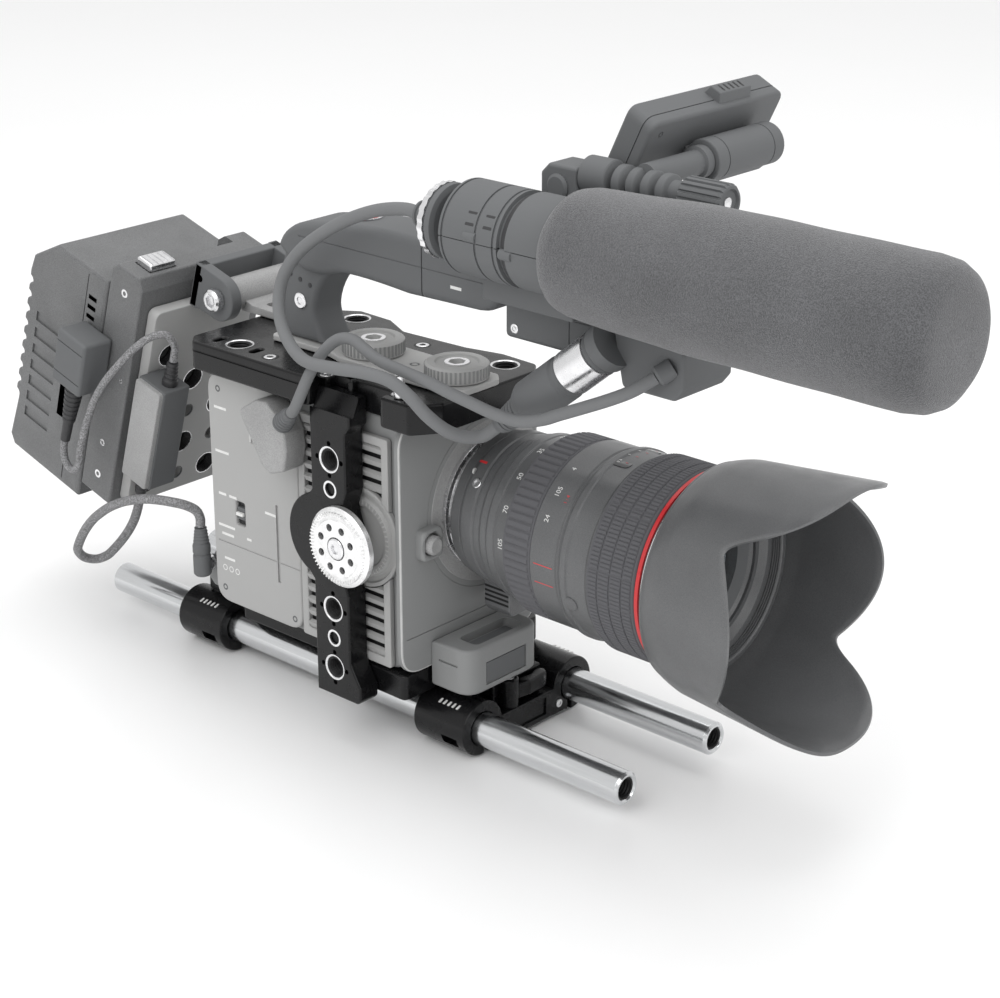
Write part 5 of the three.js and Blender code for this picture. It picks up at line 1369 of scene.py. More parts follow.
def microphone():
    tube = 10.4
    body = mic_turned([(0, -66), (tube - 1.4, -66), (tube, -64), (tube, -57.5), (tube - 0.5, -57.2),
        (tube - 0.5, -56.4), (tube, -56), (tube, 118), (tube - 2, 122), (0, 122)])
    piece("mic_tube", [(body, dark_plastic())], "mic_body")
    connector = mic_turned([(0, -86), (4, -86), (5.4, -85), (5.4, -84), (4.7, -83.7), (4.7, -83),
        (5.4, -82.7), (5.4, -81.7), (4.9, -81.4), (4.9, -80.7), (5.6, -80.2), (8.6, -78.4), (10.5, -75.6),
        (14.0, -73.8), (14.0, -70), (15.0, -69.6), (15.0, -67), (12.8, -66.3), (0, -66.3)])
    collar = mic_turned([(13.2, -73.3), (15.2, -73.2), (15.2, -70.6), (13.2, -70.5), (13.2, -73.3)], 96,
        lambda a, r, h: r - 0.35 if r > 15 and int(a / math.tau * 48) % 2 else r, 0)
    piece("mic_cable_connector", [(connector, dark_plastic()), (collar, bright_metal())], "mic_connector")
    inner = tube + 1.2
    rings = [("mic_ring_lower", "mic_holder_base", 180), ("mic_ring_upper", "mic_holder_cap", 0)]
    for name, node, start in rings:
        stop = start + 180
        low, high = span(node)
        rear, front = low.x, high.x
        gap = 0.5
        outline_points = arc(-60, 235.5, 18.6, start + gap, stop - gap, 28) + arc(-60, 235.5, inner,
            stop - gap * 1.6, start + gap * 1.6, 28)
        half = plate(outline_points, X, rear, front, edge=0.9)
        grooves = []
        for x in (rear + 1.6, rear + 18.5, rear + 27.5):
            grooves.append(ring(20, 17.9, x, x + 1.1, X, (0, -60, 235.5), 96))
        half = carved(half, grooves)
        groove = ring(20, 16.9, rear + 30, rear + 34, X, (0, -60, 235.5), 96)
        half = carved(half, [groove])
        band = plate(arc(-60, 235.5, 17.3, start + 2, stop - 2, 28) + arc(-60, 235.5, 16.6, stop - 2,
            start + 2, 28), X, rear + 31, rear + 33, edge=0.1)
        parts = [(half, dark_plastic()), (band, dark_mark())]
        if node == "mic_holder_base":
            foot = block((rear + 2, -56, 205.5), (front - 2, -42.4, 235.5 - inner - 2), 1)
            parts += [(foot, dark_plastic()),
                (socket_screw(((rear + front) / 2, -49, 206), (0, 0, -1), 2, 0.3), bright_metal())]
        else:
            for x in (rear + 13, rear + 22):
                catch = spun(block((x, -63, 252.4), (x + 5, -57, 254.0), 0.5), math.radians(62), "X",
                    (0, -60, 235.5))
                parts.append((catch, dark_mark()))
        parts.append((lathe([(0, -3), (2.2, -3), (2.2, 3), (0, 3)], X,
            ((rear + front) / 2 + (9 if node == "mic_holder_base" else -9), -77.2,
                235.5 + (-1.8 if node == "mic_holder_base" else 1.8)), 32), dark_plastic()))
        piece(name, parts, node)


def windscreen_foam():
    low, high = span("windscreen")
    radius, bore, taper, rear, front = (high.z - low.z) / 2, 10.9, 2.4, low.x, high.x
    tail = radius - taper
    profile = [(bore, rear), (tail - 7, rear), (tail - 3.4, rear + 0.9), (tail - 1.3, rear + 3.6),
        (tail - 0.4, rear + 8)]
    profile += [(tail + taper * i / 9 - 0.35, rear + 8 + 52 * i / 9) for i in range(1, 10)]
    profile += [(radius - 0.3, rear + 60 + i * (front - rear - 75) / 16) for i in range(1, 17)]
    profile += [(radius - 1.2, front - 8), (radius - 3.4, front - 3.6), (radius - 6.6, front - 1.4),
        (radius - 10, front - 0.5), (radius * 0.35, front - 0.2), (0, front - 0.2), (0, 123), (bore, 123),
        (bore, rear)]

    def hand_cut(angle, r, station):
        if r < bore + 1:
            return r
        return r - 0.22 + 0.12 * math.sin(3 * angle + station / 17) + 0.1 * math.sin(7 * angle - station / 6)
    body = mic_turned(profile, 144, hand_cut, 0)
    thing = piece("windscreen_foam", [(body, foam())], "windscreen", weighted=False)


# ---- monitor
def monitor_arm():
    y, z, radius = -28, 255, 5.6
    base_shape = rounded([(-45, 218.3), (-27, 218.3), (-27, 258.5), (-41, 258.5), (-45, 254.5)], 1.6)
    base = carved(plate(base_shape, Y, y - 7.5, y + 7.5, edge=1.2),
        [block((-62, -37, 218.3), (-40, -19, 226), 1)], "UNION")
    parts = [(base, dark_plastic())]
    dome = lathe([(0, -7.3), (5, -7.3), (5.2, -8.2), (4, -9.2), (1.5, -9.7), (0, -9.75)], Y, (-36, y, 250),
        48)
    parts += [(dome, dark_plastic()),
        (socket_screw((-56, y, 225.9), (0, 0, 1), 2.4, 0.5), bright_metal())]
    low = span("monitor_arm_base")[0]
    near = [part for part in parts if min(v.co.y for v in part[0].verts) < low.y - 0.01]
    for solid, _ in near:
        for vert in solid.verts:
            vert.co.y = max(vert.co.y, low.y)
    piece("arm_post", parts, "monitor_arm_base")
    profile = [(0, -26.7), (radius + 1.6, -26.7), (radius + 2, -26.2), (radius + 2, -14.5),
        (radius + 1.4, -14)]
    for x in (-13, -6, 1, 8):
        profile += [(radius - 1.6, x), (radius - 1.6, x + 1.4), (radius + 0.6, x + 1.8),
            (radius + 1, x + 2.3), (radius + 1, x + 5.2), (radius + 0.6, x + 5.6)]
    profile += [(radius - 1, 14.5), (radius - 1, 20), (0, 20)]
    rod = lathe(profile, X, (0, y, z), 80)
    neck = lathe([(0, y), (5, y), (5, 2), (6.4, 2.4), (6.4, 6.4), (0, 6.4)], Y, (0.5, 0, 258.5), 64)
    piece("arm_rod", [(rod, dark_plastic()), (neck, dark_plastic())], "monitor_arm")
    flutes = ribbed(18, 0.8, 0.6)
    knob = lathe([(0, 20.3), (6.6, 20.3), (7.4, 21.4), (7.4, 38.8), (6.4, 39.9), (5.4, 40), (4.8, 38.9),
        (0, 38.5)], X, (0, y, z), 144, lambda a, r, h: flutes(a, r, h) if r > 7 else r, 0)
    tip = lathe([(0, 38.4), (2.4, 38.4), (2.2, 39.2), (0, 39.4)], X, (0, y, z), 48)
    piece("arm_knob_grip", [(knob, dark_plastic()), (tip, bright_metal())], "monitor_arm_knob")


def monitor_panel():
    front, depth, bottom, top, near, far = -10.1, 13.8, -14.4, 15.1, -20, 63
    shell = plate(box_outline(near, bottom, far, top, 5), X, front - depth, front, edge=1.4)
    seam = plate(box_outline(near - 1, bottom - 1, far + 1, top + 1), X, front - 5, front - 4.5,
        [box_outline(near + 0.45, bottom + 0.45, far - 0.45, top - 0.45, 4.6)], 0)
    recess = block((front - depth - 1, near + 4, bottom + 3.4), (front - depth + 0.8, far - 4, top - 3.4), 0)
    shell = carved(shell, [seam, recess])
    latch = plate(rounded([(front - depth + 3, top - 1), (front - 1.5, top - 1), (front - 3.5, top + 4),
        (front - depth + 5, top + 4)], 0.8), Y, near + 42, near + 62, edge=0.5)
    parts = [(shell, dark_plastic()), (latch, dark_plastic())]
    for k in range(5):
        parts.append((block((front - depth + 5.6, near + 45 + 3 * k, top + 3.6),
            (front - 4.2, near + 46.4 + 3 * k, top + 4.0), 0.1), dark_mark()))
    parts += [(block((front - depth + 0.2, near + 5, bottom + 4.4), (front - depth + 0.9, far - 5, top - 4.4),
        0.2), screen_glass()),
        (socket_screw((front - 0.1, near + 7, top - 6), (1, 0, 0), 1.5, 0.1), bright_metal())]
    piece("monitor_shell", parts, "monitor_panel", place=MONITOR)
    barrel = 8.4
    shape = arc(0, 0, barrel, -63, 180, 30) + [(front + 0.3, 0), (front + 0.3, -barrel), (2, -barrel - 3)]
    body = plate(shape, Y, 6.8, 49, edge=0.7)
    cuts = [ring(10, barrel - 0.4, y0, y0 + 0.6, Y, (0, 0, 0), 80) for y0 in (13, 42)]
    piece("monitor_hinge", [(carved(body, cuts), dark_plastic())], "monitor_hinge_barrel", place=MONITOR)


# ---- battery, its plate and regulator
def battery_pack():
    width, depth, bottom, top, front = 77, 55.6, -17, 104, -22.6
    rear, half = front - depth, width / 2
    shape = [(rear + 4, bottom), (front, bottom), (front, top), (rear + 18, top), (rear + 1.5, top - 14)]
    for i in range(9):
        z = top - 22 - i * 8
        shape += [(rear, z), (rear, z - 3.6), (rear + 2.4, z - 4.6), (rear + 2.4, z - 7)]
    shape += [(rear, bottom + 5)]
    body = plate(rounded(shape, 1.6, 3), Y, -half, half, edge=1.8)
    tools = []
    for k in range(7):
        tools.append(block((rear + 9, -half - 1, 4 + 9 * k), (rear + 27, -half + 0.9, 9.2 + 9 * k), 0))
        tools.append(block((rear + 9, half - 0.9, 4 + 9 * k), (rear + 27, half + 1, 9.2 + 9 * k), 0))
    tools.append(block((front - 14, -half - 1, bottom + 3), (front - 13.4, -half + 0.6, top - 3), 0))
    body = carved(body, tools)
    parts = [(body, battery_case())]
    raised = block((rear + 32, -half, 18), (front - 17, -half + 0.6, 66), 0.3)
    parts.append((raised, light_plastic()))
    white = lathe([(0, top - 0.4), (5, top - 0.4), (5, top - 0.05), (0, top - 0.05)], Z, (front - 20, 4, 0),
        64)
    parts.append((white, mark_paint()))
    for k in range(4):
        parts.append((block((front - 12, -half, 74 + 5 * k), (front - 6, -half + 0.3, 76.4 + 5 * k), 0.1),
            dark_mark()))
    piece("battery_shell", parts, "battery", PACK)
    body = plate(rounded([(-22, -8), (0, -8), (0, 110), (-3, 116), (-18, 116), (-22, 112)], 1.6), Y, -half,
        half, edge=1.2)
    body = carved(body, [block((-23, -26, 28), (-12, 26, 117), 0), block((-16, -half + 8, 109),
        (-5, -half + 24, 117), 0)])
    parts = [(body, battery_case())]
    for x, z, r in ((-11, 4, 2.2), (-11, 22, 1.8), (-11, 104, 2.2), (-5, 60, 1.2)):
        parts.append((socket_screw((x, -half + 0.3, z), (0, -1, 0), r, 0.35), bright_metal()))
    side = block((-20, -half + 0.05, 84), (-4, -half + 0.6, 98), 0.3)
    parts.append((side, worn_rim()))
    piece("plate_body", parts, "battery_plate", PACK)
    key = block((-15.6, -half + 8.4, 112), (-5.4, -half + 23.6, 119.5), 1.2)
    ridges = [block((-16, -half + 9.5 + 3 * k, 119.1), (-5, -half + 10.5 + 3 * k, 120), 0) for k in range(5)]
    piece("latch_key", [(carved(key, ridges), bright_metal())], "battery_latch", PACK)


def drilled_plate():
    near, far, bottom, top = -33, 27, -6, 101
    holes, rims_and_thread_shade = [], []
    for row in range(5):
        for k in range(3):
            u, v = near + 11.5 + 18 * k, bottom + 10 + 18 * row
            r = 3 if (row + k) % 2 else 5.4
            holes.append(circle(u, v, r + 0.2, 40))
            rims_and_thread_shade.append((ring(r + 1.5, r, 5.6, 6.25, X, (0, u, v), 64),
                bright_metal() if r > 4 else dark_plastic()))
            if r > 4:
                # painted shade: the threaded wall inside each large hole is drawn in the near-black shade
                # finish
                rims_and_thread_shade.append((lathe([(r + 0.1, 0.6), (r + 0.1, 6.1)] + [(r - 0.15 - 0.35 * (i % 2),
                    5.9 - 0.4 * i) for i in range(13)] + [(r - 0.1, 0.6), (r + 0.1, 0.6)], X, (0, u, v), 40,
                    soften=0), thread_shadow()))
    body = plate(box_outline(near, bottom, far, top, 4), X, 0.3, 6.3, holes, 0.5)
    piece("drilled_plate", [(body, camera_shell()), *rims_and_thread_shade], "cheese_plate", PACK)
    back, middle = 6.6, -30.5
    box = plate(box_outline(back, -38.5, back + 18.4, -22.5, 1.6), Z, 16, 70, edge=0.9)
    lid = plate(box_outline(back + 0.6, 16.6, back + 17.8, 69.4, 1.6), Y, -40.8, -37.5, edge=0.7)
    parts = [(box, dark_plastic()), (lid, light_plastic())]
    for x in (back + 3.2, back + 15.2):
        for z in (20, 66):
            parts.append((socket_screw((x, -40.6, z), (0, -1, 0), 1.3, 0.15), dark_plastic()))
    for x, start, out in ((12.4, 69, 1), (5, 17, -1)):
        profile = [(0, 0), (3.6, 0), (3.6, 3.4)]
        for i in range(4):
            profile += [(3.3 - 0.12 * i, 4.2 + 2 * i), (2.7 - 0.08 * i, 4.5 + 2 * i),
                (2.7 - 0.08 * i, 5.2 + 2 * i), (3.2 - 0.14 * i, 5.6 + 2 * i)]
        profile += [(2.5, 12.8), (0, 12.9)]
        at = Vector((back + x, middle, start))
        parts.append((between(profile, at, at + Vector((0, 0, out))), dark_mark()))
    piece("regulator_case", parts, "regulator_box", place=PACK)
    x, z, radius = 24, 114, 10.5
    cheek = rounded([(6.6, z - 12), (x - 4, z - radius)], 0.1, closed=False) + arc(x, z, radius, -90, 90,
        24) + [(6.6, z + radius)]
    parts = []
    for y0, y1 in ((-14.5, -8.5), (29.5, 35.5)):
        parts.append((plate(cheek, Y, y0, y1, [circle(x, z, 3.3, 40)], 0.8), dark_plastic()))
        y = y0 if y0 < 0 else y1
        parts.append((socket_screw((11, y, z + 4), (0, -1 if y0 < 0 else 1, 0), 1.8, 0.2), bright_metal()))
    parts.append((block((6.6, -14.5, z - 12), (11.6, 35.5, z + radius), 0.8), dark_plastic()))
    low_y = -14.5
    for solid, _ in parts:
        for vert in solid.verts:
            vert.co.y = max(low_y, min(35.5, vert.co.y))
    piece("hinge_sides", parts, "hinge_cheeks", place=PACK)
    whole = lathe([(0, 34.4), (3, 34.4), (3, -14.8), (5.2, -14.8), (5.2, -18), (4.2, -19), (2.6, -19),
        (2.4, -17.2), (0, -17.2)], Y, (x, 0, z), 72, hexagonal(lambda r: 2 < r < 2.7), 0.1)
    piece("hinge_screw", [(whole, bright_metal())], "hinge_lock_screw", PACK)


# ---- plugs
def boot_profile(ribs, start, step, wide, narrow, tip):
    profile = [(0, start)]
    for i in range(ribs):
        t = i / max(1, ribs - 1)
        r = wide + (narrow - wide) * t
        profile += [(r, start + step * i), (r, start + step * (i + 0.55)),
            (r - 0.6, start + step * (i + 0.62)), (r - 0.6, start + step * (i + 0.95))]
    return profile + [(tip[0], tip[1]), (0, tip[1])]


def input_plug():
    tail, head, r = Vector((-53, -50, 153)), Vector((0, -50, 196)), 9.3
    length = (head - tail).length
    profile = [(0, 0), (3.6, 0), (4.2, 2)]
    for i in range(6):
        s = 3 + 2.2 * i
        q = 4.6 + 0.3 * i
        profile += [(q, s), (q, s + 1.3), (q - 0.6, s + 1.5), (q - 0.6, s + 2.0)]
    profile += [(7, 17), (r - 0.8, 20), (r, 22), (r, length - 24), (r - 0.7, length - 23),
        (r - 0.7, length - 21), (r, length - 20.4), (r - 0.8, length - 20), (r - 0.8, length - 2.6),
        (r - 0.1, length - 2), (r - 1, length - 0.4), (0, length - 0.4)]
    body = between(profile, tail, head, 80)
    collar = between([(r - 1, length - 20), (r - 0.02, length - 19.6), (r - 0.02, length - 3),
        (r - 1, length - 2.6), (r - 1, length - 20)], tail, head, 80)
    piece("input_plug", [(body, dark_plastic()), (collar, bright_metal())], "xlr_plug")


def video_plug():
    shape = rounded([(-192, 130.5), (-181, 137.4), (-174.4, 138), (-166, 132), (-163, 126), (-162, 118),
        (-164, 108.4), (-173, 105.2), (-178, 108)], 3)
    body = plate(shape, Y, -66.7, -53.7, edge=1.6)
    boss = between(boot_profile(5, 0.4, 2.6, 4.6, 3.6, (3.0, 16.3)), (-166, -64, 130), (-153.2, -70.1, 139.4),
        56)
    dome = lathe([(0, -66.3), (7.6, -66.3), (7.2, -66.6), (5.8, -66.2), (0, -66.15)], Y, (-174, 0, 122), 64)
    ring_part = ring(8.4, 7.7, -66.5, -66.68, Y, (-174, 0, 122), 64)
    piece("video_plug", [(body, light_plastic()), (boss, dark_plastic()), (dome, dark_plastic()),
        (ring_part, worn_rim())], "monitor_plug")


def power_plugs():
    barrel = lathe([(0, 34), (3.4, 34), (4.2, 35), (4.2, 44), (3.8, 44.4), (3.8, 45.2), (4.2, 45.6),
        (4.2, 49)] + [(4.0 - 0.2 * i - 0.5 * (j == 1),
            49.6 + 1.6 * i + 0.8 * j) for i in range(5) for j in (0, 1)] + [(3.0, 57.8), (0, 57.9)], Z,
            (-238.5, -52, 0), 64)
    nose = lathe([(0, -52), (3.2, -52), (3.2, -44.4), (0, -44.4)], Y, (-238.5, 0, 39), 48)
    collar = ring(4.0, 3.1, -48.4, -46.6, Y, (-238.5, 0, 39), 48)
    piece("power_plug", [(barrel, dark_plastic()), (nose, dark_plastic()), (collar, bright_metal())],
        "camera_power_plug")
    body = block((-34, -55.5, 50), (-13.5, -38.8, 78), 1.8)
    body = carved(body, [block((-35, -56, 72), (-13, -55.1, 72.6), 0),
        block((-35, -56, 56), (-13, -55.1, 56.6), 0)])
    boot = between(boot_profile(8, 0.2, 2.7, 4.6, 3.2, (2.4, 32.2)), (-23, -49.5, 51), (-24.9, -49.5, 18.7),
        56)
    screw = socket_screw((-23.7, -55.3, 64), (0, -1, 0), 1.8, 0.15)
    piece("tap_plug", [(body, dark_plastic()), (boot, dark_mark()), (screw, bright_metal())],
        "power_tap_plug", place=PACK)


# ---- cables
MIC_ROUTE = [(-86.3, -60, 235.5), (-93, -60, 235.8), (-103.5, -59, 234), (-115.8, -58, 230.4),
    (-131.5, -57, 223.7), (-147.6, -56, 214.7), (-160, -56, 205.6), (-169, -56, 195.5), (-172.3, -57, 186.3),
    (-169.9, -60, 177.7), (-162.6, -64, 171.1), (-151.2, -69, 166.8), (-138.5, -73, 165.6),
    (-122, -73.5, 166.9), (-106.4, -73, 168.5), (-92.2, -72.5, 168.2), (-82.3, -71.5, 163.8),
    (-75.5, -68.5, 156.5), (-70.5, -63, 150), (-66, -57, 146.6), (-61.3, -51.6, 146.5), (-56.9, -50, 149.85),
    (-53.35, -50, 152.72)]
VIDEO_ROUTE = [(-153.2, -70.1, 139.4), (-149.4, -71.9, 142.4), (-146.2, -72.3, 147.4), (-141.8, -69.3, 159.5),
    (-137.5, -65.5, 168.8), (-130.7, -63, 175), (-123, -62.5, 176.3), (-116, -63, 174.2), (-106, -64, 171.4),
    (-90.5, -65, 170.3), (-77.2, -66, 169.6), (-66, -66, 167.8), (-54, -66, 166.2), (-42, -66, 164.7),
    (-29.4, -65.5, 164.4), (-18, -65, 167.5), (-9.3, -64.5, 171.6), (2, -64, 176.9), (14, -63, 182.7),
    (22, -59.6, 187.1), (28.1, -53.55, 192.2)]
POWER_IN_ROUTE = [(-318.5, -66, 84.9), (-319.5, -66.2, 80.5), (-318.4, -66.8, 75.6), (-314.4, -67.6, 72.4),
    (-309.2, -68.2, 72.8), (-305.6, -68.4, 77), (-304, -68.2, 84), (-301, -67.6, 93.5), (-297, -67.2, 102.5),
    (-292.4, -67.4, 110.4), (-286.8, -67.8, 117.6), (-281, -68, 124.1), (-275.9, -67, 129.9),
    (-271, -64.8, 135.6), (-266, -61.4, 141.6), (-260.8, -56.6, 146.4), (-256.4, -51.2, 147),
    (-255.4, -47.6, 141.2), (-256.7, -47, 136.8), (-257.74, -47, 133.2)]
POWER_OUT_ROUTE = [(-287.83, -47, 60.14), (-290.2, -47, 52.4), (-293.8, -47, 44.8), (-298.3, -47.3, 38),
    (-303.2, -48, 31.8), (-308.6, -49, 25.8), (-313, -50.2, 21.6), (-317.9, -53, 19.2), (-320.2, -58.2, 21.2),
    (-317.8, -63.6, 27.2), (-313, -66, 33.6), (-306, -67.4, 42.2), (-298.5, -68, 49.9), (-291.2, -68, 55.8),
    (-284, -68, 60.6), (-275.4, -68, 65.1), (-267.1, -67.6, 68.4), (-260.2, -66.8, 70.5), (-253, -65.2, 71.6),
    (-247.2, -62.2, 71.3), (-242.4, -57.6, 69.6), (-239.4, -53.6, 66.6), (-238.5, -52, 62.6),
    (-238.5, -52, 58.4)]


def smooth_route(points, each=6):
    """Points of a Catmull-Rom curve through the route, in metres of the row frame."""
    route = [Vector(p) for p in points]
    ends = [2 * route[0] - route[1], *route, 2 * route[-1] - route[-2]]
    result = []
    for a, b, c, d in zip(ends, ends[1:], ends[2:], ends[3:]):
        for k in range(each):
            t = k / each
            bend = (2 * a - 5 * b + 4 * c - d) * t * t + (3 * b - a - 3 * c + d) * t ** 3
            result.append(b + 0.5 * ((c - a) * t + bend))
    result.append(route[-1])
    return [PLACE @ p for p in result]


def cable(name, node, route, diameter, material):
    """A round cable along its route."""
    line = smooth_route(route)
    curve = bpy.data.curves.new(name, "CURVE")
    curve.dimensions = "3D"
    curve.bevel_depth = diameter / 2000
    curve.bevel_resolution = 5
    curve.use_fill_caps = True
    spline = curve.splines.new("POLY")
    spline.points.add(len(line) - 1)
    for point, place in zip(spline.points, line):
        point.co = (*place, 1)
    curve.materials.append(material)
    spline.use_smooth = True
    thing = linked(name, curve)
    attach(thing, BODY)
    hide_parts(node)


def all_cables():
    cable("mic_lead", "mic_cable", MIC_ROUTE, 5.4, cable_jacket())
    cable("video_lead", "monitor_cable", VIDEO_ROUTE, 5.0, cable_jacket())
    cable("power_in_lead", "power_in_cable", POWER_IN_ROUTE, 3.6, braid())
    cable("power_out_lead", "power_out_cable", POWER_OUT_ROUTE, 4.5, braid())


# ---- stage
def studio():
    bottom = CAD_BOX[0].z
    bpy.ops.mesh.primitive_plane_add(size=14, location=(0, 0, bottom - 0.0004))
    floor = bpy.context.object
    floor.name = "studio_floor"
    floor.data.materials.append(floor_paper())
    world = bpy.context.scene.world or bpy.data.worlds.new("studio")
    bpy.context.scene.world = world
    world.use_nodes = True
    world.node_tree.nodes["Background"].inputs["Color"].default_value = (1, 1, 1, 1)
    world.node_tree.nodes["Background"].inputs["Strength"].default_value = 0.85
    bpy.context.scene.view_settings.view_transform = "Standard"
    middle = (CAD_BOX[0] + CAD_BOX[1]) / 2
    for name, place, size, power in (("key_light", (0.15, -1.5, 1.3), 1.4, 12),
            ("top_light", (-0.2, 0.2, 1.9), 1.6, 14), ("front_light", (1.7, -0.2, 0.9), 1.1, 8)):
        light = bpy.data.lights.new(name, "AREA")
        light.size = size
        light.energy = power
        lamp = linked(name, light)
        lamp.location = middle + Vector(place)
        lamp.rotation_euler = (middle - lamp.location).to_track_quat("-Z", "Y").to_euler()
    azimuth, elevation = math.radians(42.25), math.radians(21.79)
    back = Vector((math.sin(azimuth) * math.cos(elevation), -math.cos(azimuth) * math.cos(elevation),
        math.sin(elevation)))
    right = Vector((math.cos(azimuth), math.sin(azimuth), 0))
    up = back.cross(right)
    lens = bpy.data.cameras.new("camera")
    lens.lens = 82.43
    lens.sensor_width = 36
    lens.clip_start = 0.05
    eye = linked("camera", lens)
    turn = Matrix((right, up, back)).transposed().to_4x4()
    eye.matrix_world = Matrix.Translation(PLACE @ Vector((523.45, -684.43, 463.89))) @ turn
    bpy.context.scene.camera = eye


# ---- operators


def both_clamps():
    rod_clamp("front_rod_clamp", -88, True)
    rod_clamp("rear_rod_clamp", -247, False)


class Maker:
    """What every operator of the rig has in common."""
    bl_options = {"REGISTER", "UNDO"}


class RIG_OT_stage(Maker, bpy.types.Operator):
    """Make the floor, the lights and the camera."""
    bl_idname = "rig.stage"
    bl_label = "Stage"

    def execute(self, context):
        studio()
        return {"FINISHED"}


class RIG_OT_cables(Maker, bpy.types.Operator):
    """Lay the four cables along their routes."""
    bl_idname = "rig.cables"
    bl_label = "Cables"

    def execute(self, context):
        all_cables()
        return {"FINISHED"}


class RIG_OT_rods(Maker, bpy.types.Operator):
    """Make both support rods."""
    bl_idname = "rig.rods"
    bl_label = "Support rods"

    def execute(self, context):
        support_rod("right")
        support_rod("left")
        return {"FINISHED"}


class RIG_OT_clamps(Maker, bpy.types.Operator):
    """Make the front and rear rod clamps."""
    bl_idname = "rig.clamps"
    bl_label = "Rod clamps"

    def execute(self, context):
        both_clamps()
        return {"FINISHED"}


class RIG_OT_lever(Maker, bpy.types.Operator):
    """Make the lever of the front clamp."""
    bl_idname = "rig.lever"
    bl_label = "Clamp lever"

    def execute(self, context):
        clamp_lever()
        return {"FINISHED"}


class RIG_OT_cage(Maker, bpy.types.Operator):
    """Make the top plate, the post, the base plate and the stud."""
    bl_idname = "rig.cage"
    bl_label = "Cage"

    def execute(self, context):
        cage_top()
        cage_post()
        cage_base()
        tape_hook()
        return {"FINISHED"}


class RIG_OT_rosette(Maker, bpy.types.Operator):
    """Make the toothed joint disc and its screw."""
    bl_idname = "rig.rosette"
    bl_label = "Rosette"

    def execute(self, context):
        serrated_disc()
        return {"FINISHED"}


class RIG_OT_body_shell(Maker, bpy.types.Operator):
    """Make the chassis and the rear battery bay."""
    bl_idname = "rig.body_shell"
    bl_label = "Camera body"

    def execute(self, context):
        chassis()
        rear_bay()
        return {"FINISHED"}


class RIG_OT_side_panel(Maker, bpy.types.Operator):
    """Make the side cover with its switch."""
    bl_idname = "rig.side_panel"
    bl_label = "Side panel"

    def execute(self, context):
        side_cover()
        return {"FINISHED"}


class RIG_OT_grille(Maker, bpy.types.Operator):
    """Make the louvred grille and the grip ring."""
    bl_idname = "rig.grille"
    bl_label = "Vent grille"

    def execute(self, context):
        vent_grille()
        return {"FINISHED"}


class RIG_OT_front_panel(Maker, bpy.types.Operator):
    """Make the front frame, the release button and the lower block."""
    bl_idname = "rig.front_panel"
    bl_label = "Front"

    def execute(self, context):
        front_bezel()
        front_block()
        return {"FINISHED"}


class RIG_OT_lens_body(Maker, bpy.types.Operator):
    """Make the lens mount, adapter and barrel."""
    bl_idname = "rig.lens_body"
    bl_label = "Lens"

    def execute(self, context):
        lens_rear()
        lens_barrel()
        return {"FINISHED"}


class RIG_OT_lens_rings(Maker, bpy.types.Operator):
    """Make the ribbed zoom and focus rings."""
    bl_idname = "rig.lens_rings"
    bl_label = "Lens rings"

    def execute(self, context):
        lens_rings()
        return {"FINISHED"}


class RIG_OT_lens_front(Maker, bpy.types.Operator):
    """Make the front tube and its glass."""
    bl_idname = "rig.lens_front"
    bl_label = "Lens front"

    def execute(self, context):
        lens_front()
        return {"FINISHED"}


class RIG_OT_hood(Maker, bpy.types.Operator):
    """Make the petal hood."""
    bl_idname = "rig.hood"
    bl_label = "Lens hood"

    def execute(self, context):
        lens_hood()
        return {"FINISHED"}


class RIG_OT_handle(Maker, bpy.types.Operator):
    """Make the handle, its foot, knobs and record key."""
    bl_idname = "rig.handle"
    bl_label = "Top handle"

    def execute(self, context):
        top_handle()
        return {"FINISHED"}


class RIG_OT_inputs(Maker, bpy.types.Operator):
    """Make the sound input block."""
    bl_idname = "rig.inputs"
    bl_label = "Input block"

    def execute(self, context):
        audio_input_block()
        return {"FINISHED"}


class RIG_OT_microphone(Maker, bpy.types.Operator):
    """Make the microphone, its holder and connector."""
    bl_idname = "rig.microphone"
    bl_label = "Microphone"

    def execute(self, context):
        microphone()
        return {"FINISHED"}


class RIG_OT_windscreen(Maker, bpy.types.Operator):
    """Make the foam windscreen."""
    bl_idname = "rig.windscreen"
    bl_label = "Windscreen"

    def execute(self, context):
        windscreen_foam()
        return {"FINISHED"}


class RIG_OT_monitor_arm(Maker, bpy.types.Operator):
    """Make the arm that holds the monitor."""
    bl_idname = "rig.monitor_arm"
    bl_label = "Monitor arm"

    def execute(self, context):
        monitor_arm()
        return {"FINISHED"}


class RIG_OT_monitor(Maker, bpy.types.Operator):
    """Make the monitor and its hinge."""
    bl_idname = "rig.monitor"
    bl_label = "Monitor"

    def execute(self, context):
        monitor_panel()
        return {"FINISHED"}


class RIG_OT_battery(Maker, bpy.types.Operator):
    """Make the battery, its plate and its latch."""
    bl_idname = "rig.battery"
    bl_label = "Battery"

    def execute(self, context):
        battery_pack()
        return {"FINISHED"}


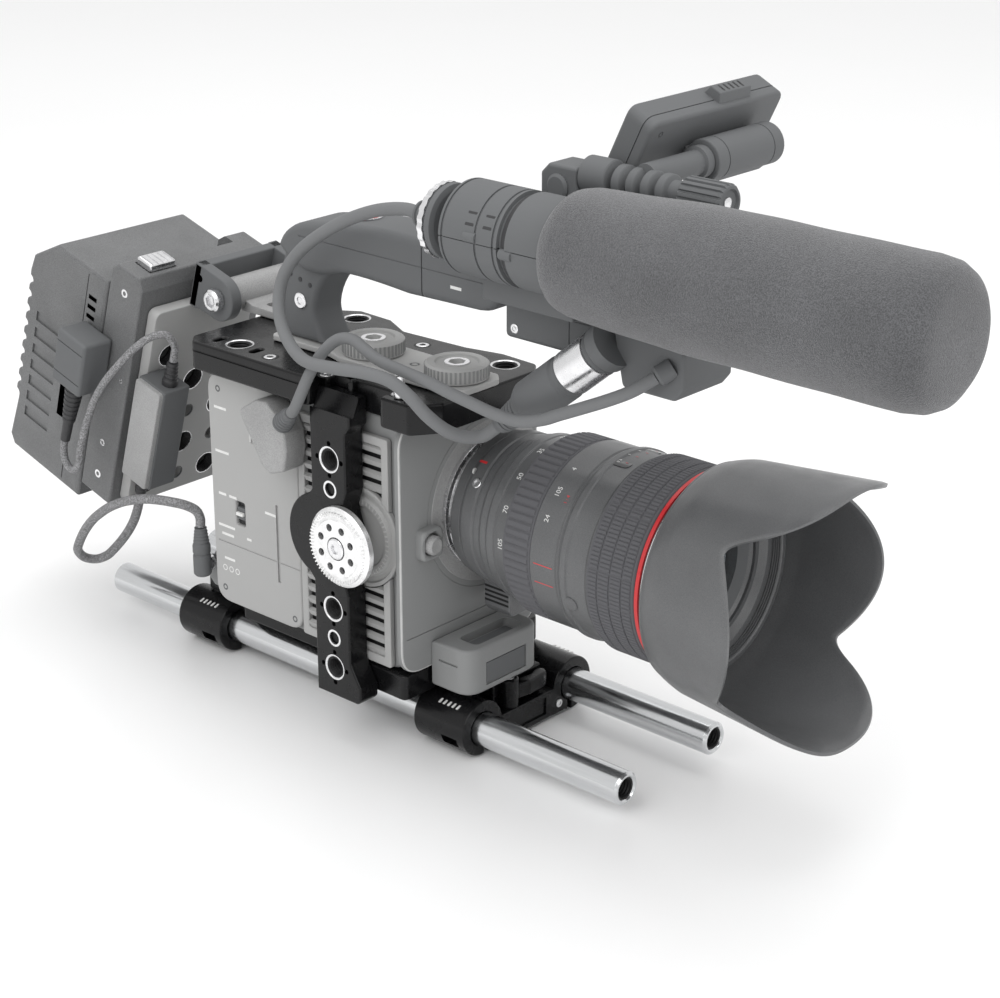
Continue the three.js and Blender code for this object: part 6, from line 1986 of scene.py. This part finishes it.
class RIG_OT_drilled_plate(Maker, bpy.types.Operator):
    """Make the drilled plate, the regulator case and the hinge."""
    bl_idname = "rig.drilled_plate"
    bl_label = "Drilled plate"

    def execute(self, context):
        drilled_plate()
        hinge_foot()
        return {"FINISHED"}


class RIG_OT_plugs(Maker, bpy.types.Operator):
    """Make the plugs at the ends of the cables."""
    bl_idname = "rig.plugs"
    bl_label = "Plugs"

    def execute(self, context):
        input_plug()
        video_plug()
        power_plugs()
        return {"FINISHED"}


OPERATORS = (RIG_OT_stage, RIG_OT_cables, RIG_OT_rods, RIG_OT_clamps, RIG_OT_lever, RIG_OT_cage,
    RIG_OT_rosette, RIG_OT_body_shell, RIG_OT_side_panel, RIG_OT_grille, RIG_OT_front_panel, RIG_OT_lens_body,
    RIG_OT_lens_rings, RIG_OT_lens_front, RIG_OT_hood, RIG_OT_handle, RIG_OT_inputs, RIG_OT_microphone,
    RIG_OT_windscreen, RIG_OT_monitor_arm, RIG_OT_monitor, RIG_OT_battery, RIG_OT_drilled_plate, RIG_OT_plugs)


class RIG_PT_panel(bpy.types.Panel):
    """Lists the pieces of the rig with their sizes and colours."""
    bl_idname = "RIG_PT_panel"
    bl_label = "Camera Rig"
    bl_space_type = "VIEW_3D"
    bl_region_type = "UI"
    bl_category = "Camera Rig"

    def draw(self, context):
        layout = self.layout
        for settings in (sizes(), colours()):
            box = layout.box()
            for name in settings.bl_rna.properties.keys():
                if name not in ("rna_type", "name"):
                    box.prop(settings, name)
        for made in OPERATORS:
            layout.operator(made.bl_idname)


CLASSES = (RigSizes, RigColours, *OPERATORS, RIG_PT_panel)


def register():
    for cls in CLASSES:
        bpy.utils.register_class(cls)
    bpy.types.Scene.rig_sizes = PointerProperty(type=RigSizes)
    bpy.types.Scene.rig_colours = PointerProperty(type=RigColours)


def unregister():
    del bpy.types.Scene.rig_colours
    del bpy.types.Scene.rig_sizes
    for cls in reversed(CLASSES):
        bpy.utils.unregister_class(cls)


def main():
    register()
    for made in OPERATORS:
        getattr(bpy.ops.rig, made.bl_idname.split(".")[1])()
    bpy.context.view_layer.update()


if __name__ == "__main__":
    main()
